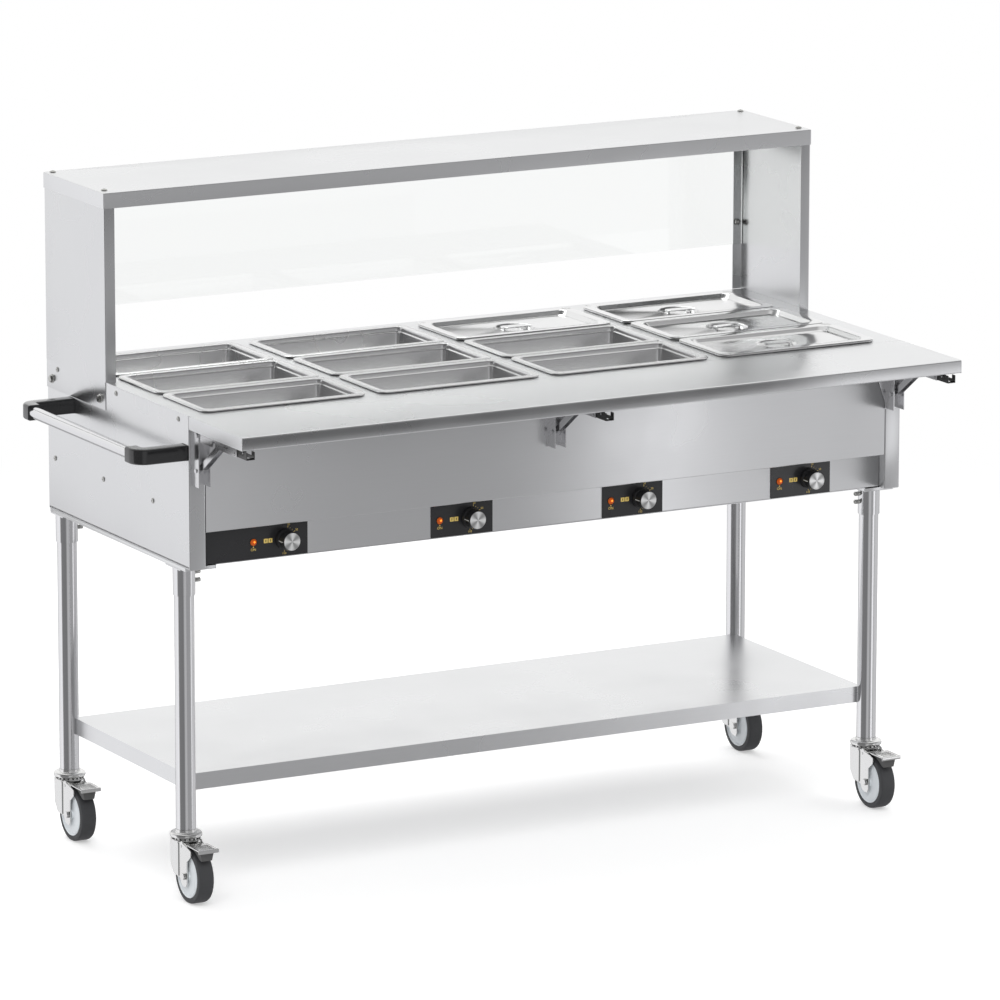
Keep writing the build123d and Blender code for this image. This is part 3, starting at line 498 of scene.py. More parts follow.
    @staticmethod
    def _flat_coordinates(mesh: bpy.types.Mesh, centre: tuple[float, float]) -> None:
        """Adds texture coordinates: x and z from the centre, in centimetres.

        Args:
            mesh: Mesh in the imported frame.
            centre: Middle in x and z of the layout.
        """
        points = np.empty(len(mesh.vertices) * 3)
        mesh.vertices.foreach_get("co", points)
        corner = np.empty(len(mesh.loops), np.int32)
        mesh.loops.foreach_get("vertex_index", corner)
        flat = points.reshape(-1, 3)[:, (0, 2)] / MM - (np.asarray(centre) + MIDDLE[[0, 2]])
        layer = mesh.uv_layers.new(name="face")
        layer.data.foreach_set("uv", (flat[corner] / 10.0).ravel())


# Finishes

def node(tree: bpy.types.NodeTree, kind: str, *inputs: object, **values: object) -> bpy.types.Node:
    """New node with its properties set, and its inputs set or linked.

    Args:
        tree: Tree that the node goes into.
        kind: Type name of the node.
        inputs: Values or sockets for the first inputs, in order.
        values: Properties of the node, or inputs by name with spaces written as underscores.

    Returns:
        The node.
    """
    made = tree.nodes.new(kind)
    fed: list[tuple[bpy.types.NodeSocket, object]] = []
    for key, value in values.items():
        if hasattr(made, key):
            setattr(made, key, value)
        else:
            fed.append((made.inputs[key.replace("_", " ")], value))
    fed += list(zip(made.inputs, inputs))
    for socket, value in fed:
        if isinstance(value, bpy.types.NodeSocket):
            tree.links.new(value, socket)
        else:
            socket.default_value = value
    return made


def maths(tree: bpy.types.NodeTree, operation: str, *inputs: object) -> bpy.types.NodeSocket:
    """Result of a sum on values or sockets."""
    return node(tree, "ShaderNodeMath", *inputs, operation=operation).outputs[0]


def scaled(tree: bpy.types.NodeTree, colour: object, factor: object) -> bpy.types.NodeSocket:
    """A colour times a factor."""
    return node(tree, "ShaderNodeVectorMath", colour, operation="SCALE", Scale=factor).outputs[0]


def smooth_step(tree: bpy.types.NodeTree, value: bpy.types.NodeSocket, span: Span,
                ends: Span = (0.0, 1.0)) -> bpy.types.NodeSocket:
    """A value that goes smoothly from one end to the other over a span."""
    step = node(tree, "ShaderNodeMapRange", interpolation_type="SMOOTHSTEP", Value=value, From_Min=span[0],
                From_Max=span[1], To_Min=ends[0], To_Max=ends[1])
    return step.outputs["Result"]


def surface_of(tree: bpy.types.NodeTree) -> bpy.types.NodeSocket:
    """Surface input of a material's output."""
    return next(item for item in tree.nodes if item.type == "OUTPUT_MATERIAL").inputs["Surface"]


def effect_group(name: str, inputs: dict[str, tuple[str, object]], outputs: dict[str, str]) -> tuple[
        bpy.types.NodeTree, bpy.types.Node, bpy.types.Node]:
    """Empty shader group with named sockets.

    Args:
        name: Name of the group.
        inputs: Socket type and default value of each input.
        outputs: Socket type of each output.

    Returns:
        The group, its input node and its output node.
    """
    group = bpy.data.node_groups.new(name, "ShaderNodeTree")
    for label, (kind, value) in inputs.items():
        socket = group.interface.new_socket(label, in_out="INPUT", socket_type=kind)
        socket.default_value = value
    for label, kind in outputs.items():
        group.interface.new_socket(label, in_out="OUTPUT", socket_type=kind)
    return group, group.nodes.new("NodeGroupInput"), group.nodes.new("NodeGroupOutput")


def grain_group() -> bpy.types.NodeTree:
    """Brushed grain: fine noise stretched along one axis, with broad soft smudges over it.

    The tone is 1 + contrast * (grain - 0.5) + smudge * (cloud - 0.5), and the height is the grain.

    Returns:
        The shader node group.
    """
    vector, number, colour = "NodeSocketVector", "NodeSocketFloat", "NodeSocketColor"
    group, given, out = effect_group(
        "brushed_grain",
        {"Colour": (colour, (0.8, 0.8, 0.8, 1.0)), "Stretch": (vector, (1.0, 1.0, 1.0)),
         "Scale": (number, 900.0), "Contrast": (number, 0.1), "Smudge": (number, 0.05),
         "Roughness": (number, 0.3)},
        {"Colour": colour, "Roughness": number, "Height": number},
    )
    take = given.outputs
    place = node(group, "ShaderNodeTexCoord").outputs["Object"]
    run = node(group, "ShaderNodeVectorMath", place, take["Stretch"], operation="MULTIPLY").outputs[0]
    grain = node(group, "ShaderNodeTexNoise", Vector=run, Scale=take["Scale"], Detail=3.0, Roughness=0.6)
    cloud = node(group, "ShaderNodeTexNoise", Vector=place, Scale=5.0, Detail=3.0, Roughness=0.55)
    fine = maths(group, "SUBTRACT", grain.outputs["Fac"], 0.5)
    broad = maths(group, "SUBTRACT", cloud.outputs["Fac"], 0.5)
    lines = maths(group, "MULTIPLY_ADD", fine, take["Contrast"], 1.0)
    tone = maths(group, "MULTIPLY_ADD", broad, take["Smudge"], lines)
    rough = maths(group, "MULTIPLY_ADD", broad, 0.25, take["Roughness"])
    for label, socket in (("Colour", scaled(group, take["Colour"], tone)), ("Roughness", rough),
                          ("Height", grain.outputs["Fac"])):
        group.links.new(socket, out.inputs[label])
    return group


def speckle_group() -> bpy.types.NodeTree:
    """Moulded surface: fine speckle for the height and a broad cloud that varies tone and gloss.

    Returns:
        The shader node group.
    """
    number, colour = "NodeSocketFloat", "NodeSocketColor"
    group, given, out = effect_group(
        "moulded_speckle",
        {"Colour": (colour, (0.05, 0.05, 0.05, 1.0)), "Scale": (number, 2500.0), "Contrast": (number, 0.2),
         "Roughness": (number, 0.4)},
        {"Colour": colour, "Roughness": number, "Height": number},
    )
    take = given.outputs
    place = node(group, "ShaderNodeTexCoord").outputs["Object"]
    speckle = node(group, "ShaderNodeTexNoise", Vector=place, Scale=take["Scale"], Detail=2.0, Roughness=0.5)
    cloud = node(group, "ShaderNodeTexNoise", Vector=place, Scale=30.0, Detail=3.0, Roughness=0.6)
    middle = maths(group, "SUBTRACT", cloud.outputs["Fac"], 0.5)
    tone = maths(group, "MULTIPLY_ADD", middle, take["Contrast"], 1.0)
    rough = maths(group, "MULTIPLY_ADD", middle, 0.2, take["Roughness"])
    for label, socket in (("Colour", scaled(group, take["Colour"], tone)), ("Roughness", rough),
                          ("Height", speckle.outputs["Fac"])):
        group.links.new(socket, out.inputs[label])
    return group


def blank_material(name: str) -> tuple[bpy.types.Material, bpy.types.NodeTree, bpy.types.Node]:
    """New material with a Principled BSDF on its output.

    Args:
        name: Name of the material.

    Returns:
        The material, its tree and its shader node.
    """
    material = bpy.data.materials.new(name)
    material.use_nodes = True
    tree = material.node_tree
    tree.nodes.clear()
    shader = tree.nodes.new("ShaderNodeBsdfPrincipled")
    out = tree.nodes.new("ShaderNodeOutputMaterial")
    tree.links.new(shader.outputs[0], out.inputs["Surface"])
    return material, tree, shader


def clothe(tree: bpy.types.NodeTree, shader: bpy.types.Node, effect: bpy.types.Node, strength: float,
           height: float) -> None:
    """Feeds a shader with the colour, roughness and height of an effect group.

    Args:
        tree: The material's tree.
        shader: The material's shader.
        effect: Group node with its values set.
        strength: Strength of the bump.
        height: Depth of the bump in metres.
    """
    bump = node(tree, "ShaderNodeBump", Strength=strength, Distance=height, Height=effect.outputs["Height"])
    tree.links.new(effect.outputs["Colour"], shader.inputs["Base Color"])
    tree.links.new(effect.outputs["Roughness"], shader.inputs["Roughness"])
    tree.links.new(bump.outputs["Normal"], shader.inputs["Normal"])


@dataclass(frozen=True)
class Metal:
    """Brushed, satin or polished metal.

    Attributes:
        name: Name of the finish.
        colour: Reflected colour.
        roughness: Width of the reflections.
        grain: Direction of the brushing.
        contrast: Tone change from line to line.
        smudge: Tone change of broad patches.
        height: Depth of the lines in metres, for the bump.
        scale: Fineness of the lines.
    """

    name: str
    colour: Colour
    roughness: float
    grain: Grain = Grain.NONE
    contrast: float = 0.035
    smudge: float = 0.02
    height: float = 0.000005
    scale: float = 420.0

    def build(self, group: bpy.types.NodeTree) -> bpy.types.Material:
        """The material, with the grain group ahead of its shader.

        Args:
            group: The brushed grain group.

        Returns:
            The material.
        """
        material, tree, shader = blank_material(self.name)
        shader.inputs["Metallic"].default_value = 1.0
        effect = node(tree, "ShaderNodeGroup", node_tree=group, Colour=(*self.colour, 1.0),
                      Stretch=self.grain.value, Scale=self.scale, Contrast=self.contrast,
                      Smudge=self.smudge, Roughness=self.roughness)
        clothe(tree, shader, effect, 0.35, self.height)
        return material


@dataclass(frozen=True)
class Moulded:
    """Moulded plastic, nylon, rubber or printed lacquer.

    Attributes:
        name: Name of the finish.
        colour: Surface colour.
        roughness: Width of the reflections.
        coat: Weight of a clear gloss layer.
        contrast: Tone change of broad patches.
        height: Depth of the speckle in metres, for the bump.
        scale: Fineness of the speckle.
    """

    name: str
    colour: Colour
    roughness: float
    coat: float = 0.0
    contrast: float = 0.2
    height: float = 0.00004
    scale: float = 2500.0

    def build(self, group: bpy.types.NodeTree) -> bpy.types.Material:
        """The material, with the speckle group ahead of its shader.

        Args:
            group: The moulded speckle group.

        Returns:
            The material.
        """
        material, tree, shader = blank_material(self.name)
        shader.inputs["Coat Weight"].default_value = self.coat
        shader.inputs["Coat Roughness"].default_value = 0.08
        effect = node(tree, "ShaderNodeGroup", node_tree=group, Colour=(*self.colour, 1.0), Scale=self.scale,
                      Contrast=self.contrast, Roughness=self.roughness)
        clothe(tree, shader, effect, 0.3, self.height)
        return material


@dataclass(frozen=True)
class Clear:
    """Glass or a tinted lens.

    Attributes:
        name: Name of the finish.
        colour: Tint of what passes through.
        roughness: Haze of the surface.
        glow: Strength of the light that the lens gives back.
    """

    name: str
    colour: Colour
    roughness: float
    glow: float = 0.0

    def build(self, group: bpy.types.NodeTree) -> bpy.types.Material:
        """The material, with faint smears in its roughness.

        Args:
            group: The moulded speckle group.

        Returns:
            The material.
        """
        material, tree, shader = blank_material(self.name)
        shader.inputs["Base Color"].default_value = (*self.colour, 1.0)
        shader.inputs["Transmission Weight"].default_value = 1.0 if self.glow == 0.0 else 0.5
        shader.inputs["IOR"].default_value = 1.45
        shader.inputs["Emission Color"].default_value = (*self.colour, 1.0)
        shader.inputs["Emission Strength"].default_value = self.glow
        effect = node(tree, "ShaderNodeGroup", node_tree=group, Roughness=self.roughness)
        tree.links.new(effect.outputs["Roughness"], shader.inputs["Roughness"])
        return material


@dataclass(frozen=True)
class SpunCapPaintedHighlights:
    """Turned metal face with painted highlights: its tone changes with the angle round its middle, like a
    fan, in place of spun metal's reflections.

    Attributes:
        name: Name of the finish.
        colour: Reflected colour.
        roughness: Width of the reflections.
        fans: Number of painted bright and dark pairs round the face.
        depth: Share of the tone that the painted dark fans lose.
    """

    name: str
    colour: Colour
    roughness: float
    fans: float = 2.0
    depth: float = 0.62

    def build(self) -> bpy.types.Material:
        """The material: tone = 1 - depth * (0.5 - 0.5 * cos(2 fans * angle + streaks)), painted highlight and
        shade in the base colour.

        Returns:
            The material.
        """
        material, tree, shader = blank_material(self.name)
        shader.inputs["Metallic"].default_value = 0.5
        shader.inputs["Roughness"].default_value = self.roughness
        place = node(tree, "ShaderNodeUVMap").outputs[0]
        split = node(tree, "ShaderNodeSeparateXYZ", place)
        angle = maths(tree, "ARCTAN2", split.outputs["Y"], split.outputs["X"])
        across = node(tree, "ShaderNodeVectorMath", place, operation="NORMALIZE").outputs[0]
        streak = node(tree, "ShaderNodeTexNoise", Vector=across, Scale=3.0, Detail=4.0, Roughness=0.7)
        wave = maths(tree, "COSINE",
                     maths(tree, "MULTIPLY_ADD", angle, 2.0 * self.fans, streak.outputs["Fac"]))
        tone = node(tree, "ShaderNodeMapRange", Value=wave, From_Min=-1.0, To_Min=1.0 - self.depth)
        shade = scaled(tree, self.colour, tone.outputs["Result"])
        tree.links.new(shade, shader.inputs["Base Color"])
        return material


class Finishes:
    """All materials of the object by a plain name."""

    METALS = (
        Metal("steel_along_x", (0.82, 0.825, 0.83), 0.30, Grain.ALONG_X),
        Metal("steel_along_y", (0.82, 0.825, 0.83), 0.30, Grain.ALONG_Y),
        Metal("steel_upright", (0.76, 0.765, 0.77), 0.28, Grain.ALONG_Z),
        Metal("well_steel", (0.70, 0.70, 0.70), 0.34, Grain.NONE),
        Metal("pan_steel", (0.80, 0.80, 0.80), 0.24, Grain.NONE, contrast=0.06),
        Metal("lid_steel", (0.84, 0.84, 0.84), 0.19, Grain.ALONG_X, contrast=0.06),
        Metal("tube_steel", (0.80, 0.80, 0.81), 0.13, Grain.ALONG_Z, contrast=0.05, scale=600.0),
        Metal("handle_steel", (0.80, 0.80, 0.81), 0.14, Grain.ALONG_Y, contrast=0.05, scale=600.0),
        Metal("zinc_plate", (0.82, 0.82, 0.81), 0.16, Grain.NONE, contrast=0.08, scale=400.0),
        Metal("bracket_steel", (0.74, 0.74, 0.75), 0.22, Grain.NONE),
        # Release levers near black: painted shade of the arms' dark insides.
        Metal("lever_painted_shade", (0.10, 0.10, 0.10), 0.30, Grain.NONE),
        Metal("heater_sheath", (0.16, 0.14, 0.13), 0.5, Grain.NONE, contrast=0.3, scale=300.0),
        # Bolts, screws and rivets darker than the sheet: zinc plate with painted dark reflections.
        Metal("screw_zinc_painted_reflection", (0.52, 0.52, 0.50), 0.20, Grain.NONE),
    )
    MOULDINGS = (
        Moulded("black_gloss", (0.012, 0.012, 0.013), 0.14, coat=0.6, contrast=0.1),
        Moulded("black_moulded", (0.02, 0.02, 0.021), 0.38, contrast=0.15),
        Moulded("black_lacquer", (0.018, 0.018, 0.020), 0.30, coat=0.3, contrast=0.1),
        Moulded("tyre_rubber", (0.055, 0.056, 0.060), 0.62, contrast=0.25, scale=1800.0),
        Moulded("hub_nylon", (0.84, 0.88, 0.91), 0.36, contrast=0.05),
        # Near black for the caster ball ring and the arm slots: painted shade of a gap and of holes.
        Moulded("gap_painted_shade", (0.02, 0.02, 0.02), 0.5),
        Moulded("shoe_rubber", (0.10, 0.10, 0.10), 0.6),
        Moulded("yellow_print", (0.82, 0.60, 0.16), 0.4, contrast=0.1),
        Moulded("white_print", (0.75, 0.75, 0.72), 0.4, contrast=0.1),
    )
    CLEARS = (
        Clear("screen_glass", (0.955, 0.965, 0.96), 0.02),
        Clear("amber_lens", (0.50, 0.10, 0.006), 0.15, glow=0.3),
        Clear("lamp_core", (1.0, 0.42, 0.05), 0.15, glow=1.0),
    )

    def __init__(self) -> None:
        """Builds the shared groups and every material once."""
        self.grain = grain_group()
        self.speckle = speckle_group()
        self.made: dict[str, bpy.types.Material] = {}
        for metal in self.METALS:
            self.made[metal.name] = metal.build(self.grain)
        for moulding in self.MOULDINGS:
            self.made[moulding.name] = moulding.build(self.speckle)
        for clear in self.CLEARS:
            self.made[clear.name] = clear.build(self.speckle)
        # Knob caps: fan highlights and shade painted into the base colour.
        spun = SpunCapPaintedHighlights("spun_cap_painted_highlights", (0.92, 0.92, 0.92), 0.28)
        self.made[spun.name] = spun.build()

    def __getitem__(self, name: str) -> bpy.types.Material:
        """The material of that name."""
        return self.made[name]


@dataclass
class Workshop:
    """What every sub-assembly needs: the CAD nodes and the finishes, and how a piece is put in.

    Attributes:
        nodes: CAD objects by node name.
        finishes: Materials.
    """

    nodes: dict[str, bpy.types.Object]
    finishes: Finishes

    def dress(self, node_name: str, finish: str) -> None:
        """Gives a CAD node that keeps its own shape a finish.

        Args:
            node_name: Name of the node.
            finish: Name of the finish.
        """
        mesh = self.nodes[node_name].data
        mesh.materials.clear()
        mesh.materials.append(self.finishes[finish])

    def fit(self, skin: Skin, name: str, body: str, finishes: Sequence[str],
            replaced: Sequence[str] = (), face_centre: tuple[float, float] | None = None) -> bpy.types.Object:
        """Makes a piece, lets it ride on its body and has it stand for CAD nodes.

        Args:
            skin: Shape of the piece.
            name: Name of the piece.
            body: CAD body that it rides on.
            finishes: Names of its finishes.
            replaced: CAD nodes that it stands for.
            face_centre: Middle in x and z of a face that gets flat texture coordinates.

        Returns:
            The piece.
        """
        piece = skin.make(name, [self.finishes[finish] for finish in finishes], face_centre)
        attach(piece, body)
        if replaced:
            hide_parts(*replaced)
        return piece


# Sub-assemblies

@dataclass
class Cabinet:
    """Sheet metal body, deck, dial plates and what is hidden inside.

    Attributes:
        bend: Radius of the sheet's middle line in a bend.
        deck_under: Height of the deck's underside.
        lip: Width of the lips along the bottom.
        tray_bottom: Height of the tray's underside.
        step_half: Half the length of the tray's step.
        step_depth: Depth of the tray's step.
    """

    bend: float = 2.0
    deck_under: float = DECK_TOP - SHEET
    lip: float = 15.0
    tray_bottom: float = 603.5
    step_half: float = 661.5
    step_depth: float = 42.0

    def side_panels(self, shop: Workshop) -> None:
        """Outer sheets with the front corner posts folded from them, and their lips."""
        mid = SHEET / 2
        outer = -BODY_HALF + mid
        inner = -POST_INNER - mid
        front = BODY_FRONT + mid
        skin = Skin()
        post = [(outer, BODY_REAR), (outer, front), (inner, front), (inner, STRIP_Y + SHEET)]
        skin.fold(post, SHEET, self.bend, (BODY_BOTTOM + SHEET, self.deck_under), Axis.Z)
        lip_z = BODY_BOTTOM + mid
        lip = [(-BODY_HALF + self.lip, lip_z), (outer, lip_z), (outer, lip_z + 2.4 * self.bend)]
        flat = [(z, x) for x, z in lip]
        rear = BODY_REAR - SHEET - 0.4
        skin.fold(flat, SHEET, self.bend, (BODY_FRONT + SHEET, rear), Axis.Y)
        shop.fit(skin.both(), "side_panels", "cabinet", ["steel_upright"],
                 ["cabinet_sides"])

    def front(self, shop: Workshop) -> None:
        """Front sheet with the step back to the control strip and the lip under it."""
        mid = SHEET / 2
        face = BODY_FRONT + 0.4 + mid
        strip = STRIP_Y + mid
        half = POST_INNER - 0.4
        line = [(STRIP_Y + self.lip, STRIP_BOTTOM + mid), (strip, STRIP_BOTTOM + mid),
                (strip, STRIP_TOP + mid), (face, STRIP_TOP + mid), (face, self.deck_under)]
        skin = Skin().fold(line, SHEET, 1.2, (-half, half), Axis.X)
        shop.fit(skin, "front_sheet", "cabinet", ["steel_along_x"], ["front_panel"])

    def tray(self, shop: Workshop) -> None:
        """Tray that closes the cabinet from below, stepped up behind the control strip.

        The middle length, between the front legs, is a fold with the step. The two ends are folds
        without it, closed by a side wall and by a cheek where the step starts.
        """
        low, high, mid = self.tray_bottom, BODY_BOTTOM, SHEET / 2
        front, rear, half = STRIP_Y + SHEET, BODY_REAR - SHEET, BODY_HALF - SHEET
        back = front + self.step_depth
        top = STRIP_BOTTOM - 0.2
        foot = [(rear - mid, high), (rear - mid, low + mid)]
        stepped = foot + [(back - mid, low + mid), (back - mid, top - mid), (front, top - mid)]
        plain = foot + [(front + mid, low + mid), (front + mid, high)]
        middle = Skin().fold(stepped, SHEET, 1.0, (-self.step_half, self.step_half), Axis.X)
        end = Skin().fold(plain, SHEET, 1.0, (self.step_half, half - SHEET), Axis.X)
        wall = ((rear - front) / 2, (high - low) / 2)
        end.slab(wall, 0.4, (-mid, mid), (half - mid, (rear + front) / 2, (high + low) / 2), 0.2, Axis.X)
        cheek = (self.step_depth / 2, (top - low) / 2)
        place = (self.step_half + mid, (front + back) / 2, (top + low) / 2)
        end.slab(cheek, 0.4, (-mid, mid), place, 0.2, Axis.X)
        middle.joined(end.both())
        shop.fit(middle, "bottom_tray", "cabinet", ["steel_along_x"], ["bottom_panel"])

    def inside(self, shop: Workshop) -> None:
        """Finishes of the CAD nodes that keep their own shape."""
        for name, finish in (
            ("rear_panel", "steel_along_x"), ("top_deck", "steel_along_x"),
            ("water_wells", "well_steel"), ("heating_elements", "heater_sheath"),
            ("thermostats", "black_moulded"), ("drain_manifold", "well_steel"),
            ("lower_shelf", "steel_along_x"), ("bracket_channels", "bracket_steel"),
            ("glass_screen", "screen_glass"), ("shelf_arms", "bracket_steel"),
            # The release levers' near-black finish is painted shade.
            ("shelf_struts", "bracket_steel"), ("release_levers", "lever_painted_shade"),
            ("control_plates", "black_lacquer"),
        ):
            shop.dress(name, finish)

    def build(self, shop: Workshop) -> None:
        """All pieces of the cabinet."""
        self.side_panels(shop)
        self.front(shop)
        self.tray(shop)
        self.inside(shop)


@dataclass
class Controls:
    """Knobs, dial markings and pilot lamps.

    Attributes:
        skirt: Radius of the knob's skirt.
        body: Radius of the knob's grip.
        length: Length of the knob.
        gap: Gap between the knob and its dial plate.
        ribs: Number of ribs round the grip.
        rib_depth: Half the depth of a rib.
    """

    skirt: float = 18.6
    body: float = 17.4
    length: float = 28.0
    gap: float = 1.0
    ribs: int = 36
    rib_depth: float = 0.35

    def knob(self, shop: Workshop, index: int, x: float) -> None:
        """One knob: ribbed black grip, skirt, spun metal cap with painted fan highlights and pointer line."""
        back = STRIP_Y - PLATE_SHEET - self.gap
        tip = self.length
        skin = Skin()
        count = 144
        profile = [(3.1, 0.0), (self.skirt - 0.6, 0.0), (self.skirt, 0.6), (self.skirt, 6.4),
                   (self.skirt - 0.8, 7.8), (self.body - 0.5, 8.2), (self.body - 0.2, 9.0),
                   (self.body - 0.5, tip - 3.2), (self.body - 1.2, tip - 1.6),
                   (self.body - 1.6, tip - 1.4), (3.1, tip - 1.4), (3.1, 0.0)]
        radius, height = np.asarray(profile).T
        angle = np.arange(count) * (2 * math.pi / count)
        rib = self.rib_depth * np.cos(self.ribs * angle)
        grip = ((radius > 14.0) & (height > 8.5) & (height < tip - 2.0))[:, None] * rib[None, :]
        ring = np.stack([np.cos(angle), np.sin(angle)], axis=-1)
        points = np.empty((len(radius), count, 3))
        points[..., :2] = (radius[:, None] + grip - self.rib_depth * (grip != 0.0))[..., None] * ring[None]
        points[..., 2] = -height[:, None]
        points = turned(points, Axis.Y) + np.array([x, back, CONTROL_Z])
        skin.grid(points, wrap_rows=True, caps=False)
        rim = self.body - 1.7
        radii = np.linspace(rim - 1.8, 0.0, 24)
        groove = -tip + 0.35 - 0.1 * np.cos(np.arange(24) * math.pi)
        cap = [(0.0, -tip + 1.4), (rim, -tip + 1.4), (rim, -tip + 0.5), (rim - 0.5, -tip), (rim - 1.3, -tip)]
        cap += list(zip(radii.tolist(), groove.tolist()))
        # The cap's fan finish paints highlights and shade into its colour.
        skin.turn(cap, (x, back, CONTROL_Z), Axis.Y, 72, finish=1)
        middle = (8.4 + tip - 3.0) / 2
        pointer = (x - self.body + 0.1, back - middle, CONTROL_Z)
        skin.slab((tip / 2 - 6.6, 0.7), 0.3, (-0.35, 0.3), pointer, 0.1, Axis.X, 2, finish=2)
        name = f"knob_{index}"
        shop.fit(skin, f"dial_knob_{index}", name,
                 ["black_moulded", "spun_cap_painted_highlights", "white_print"], [name], (x, CONTROL_Z))

    def lamps(self, shop: Workshop) -> None:
        """Amber lenses in thin black bezels with their stems."""
        skin = Skin()
        face = STRIP_Y - PLATE_SHEET
        for x in KNOB_X:
            centre = (x - LAMP_OFFSET, face, CONTROL_Z)
            lens = [(0.0, -2.9), (2.0, -2.8), (3.8, -2.4), (5.2, -1.8), (6.2, -0.9), (6.3, 0.0), (0.0, 0.0)]
            skin.turn(lens, centre, Axis.Y, 32)
            core = [(0.0, -0.3), (1.2, -0.25), (2.0, 0.1), (2.1, 0.8), (0.0, 0.8)]
            skin.turn(core, (centre[0] + 0.9, face - 2.7, CONTROL_Z + 0.5), Axis.Y, 24, finish=2)
            bezel = [(6.4, 0.0), (6.4, -0.9), (6.8, -1.2), (7.1, -0.8), (7.2, 0.0)]
            skin.turn(bezel, centre, Axis.Y, 32, closed=True, finish=1)
            stem = [(0.0, 0.2), (4.8, 0.2), (4.8, 30.0), (0.0, 30.0)]
            skin.turn(stem, centre, Axis.Y, 24, finish=1)
        shop.fit(skin, "pilot_lamps", "cabinet", ["amber_lens", "black_moulded", "lamp_core"],
                 ["indicator_lamps"])

    def markings(self, shop: Workshop) -> None:
        """Scale ticks round each knob, two small boxes left of it and an arrow under each lamp."""
        skin = Skin()
        front = STRIP_Y - PLATE_SHEET
        run = (front - 0.09, front + 0.01)
        for x in KNOB_X:
            centre = np.array([CONTROL_Z, x])
            for step in range(13):
                angle = math.radians(75.0 - 14.0 * step)
                ahead = np.array([math.sin(angle), math.cos(angle)])
                side = np.array([-ahead[1], ahead[0]]) * (0.45 if step % 3 == 0 else 0.3)
                reach = 23.4 if step % 3 == 0 else 22.2
                near, far = 20.4 * ahead, reach * ahead
                tick = np.stack([near - side, far - side, far + side, near + side])
                skin.plate(centre + tick, run, Axis.Y, 0.03)
            for offset in (-37.6, -28.6):
                for half, corner, lift, finish in (((3.9, 3.9), 0.6, 0.04, 0), ((2.3, 0.7), 0.3, 0.1, 1)):
                    place = (x + offset, front - lift, CONTROL_Z)
                    skin.slab(half, corner, (-0.05, 0.05), place, 0.03, Axis.Y, 2, finish)
            arrow = np.array([(-9.6, -1.6), (-9.6, 1.6), (-7.2, 0.0)]) + (CONTROL_Z, x - LAMP_OFFSET)
            skin.plate(arrow, run, Axis.Y, 0.03)
        shop.fit(skin, "dial_scale", "cabinet", ["yellow_print", "black_lacquer"])
        self.lettering(shop)

    def lettering(self, shop: Workshop) -> None:
        """Temperatures outside the scale and the word under each lamp."""
        words = [(word, 27.4 * math.cos(math.radians(angle)), 26.0 * math.sin(math.radians(angle)), 5.4)
                 for word, angle in (("30", 75.0), ("50", 33.0), ("70", -9.0), ("90", -51.0), ("110", -93.0))]
        words.append(("ON", -LAMP_OFFSET, -13.6, 6.6))
        front = STRIP_Y - PLATE_SHEET
        join = bmesh.new()
        for x in KNOB_X:
            for word, across, up, size in words:
                mesh = self.word_mesh(word, (x + across, CONTROL_Z + up), size, front)
                join.from_mesh(mesh)
                bpy.data.meshes.remove(mesh)
        bmesh.ops.recalc_face_normals(join, faces=join.faces)
        made = bpy.data.meshes.new("dial_lettering")
        join.to_mesh(made)
        join.free()
        made.materials.append(shop.finishes["yellow_print"])
        piece = bpy.data.objects.new("dial_lettering", made)
        show(piece)
        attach(piece, "cabinet")

    @staticmethod
    def word_mesh(word: str, place: tuple[float, float], size: float, front: float) -> bpy.types.Mesh:
        """One printed word as a thin mesh on the plate.

        Args:
            word: Letters or digits to print.
            place: Its x and z in the layout.
            size: Height of its line.
            front: The plate's front face.

        Returns:
            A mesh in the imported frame.
        """
        curve = bpy.data.curves.new("word", "FONT")
        curve.body = word
        curve.size = size * MM
        curve.align_x = "CENTER"
        curve.align_y = "CENTER"
        curve.extrude = 0.04 * MM
        curve.resolution_u = 3
        source = bpy.data.objects.new("word", curve)
        show(source)
        depsgraph = bpy.context.evaluated_depsgraph_get()
        mesh = bpy.data.meshes.new_from_object(source.evaluated_get(depsgraph))
        x, z = place
        target = (np.array([x, front - 0.04, z]) + MIDDLE) * MM
        mesh.transform(Matrix.Translation(Vector(target)) @ Matrix.Rotation(math.pi / 2, 4, "X"))
        bpy.data.objects.remove(source)
        bpy.data.curves.remove(curve)
        return mesh

    def build(self, shop: Workshop) -> None:
        """All pieces of the controls."""
        for index, x in enumerate(KNOB_X, 1):
            self.knob(shop, index, x)
        self.lamps(shop)
        self.markings(shop)


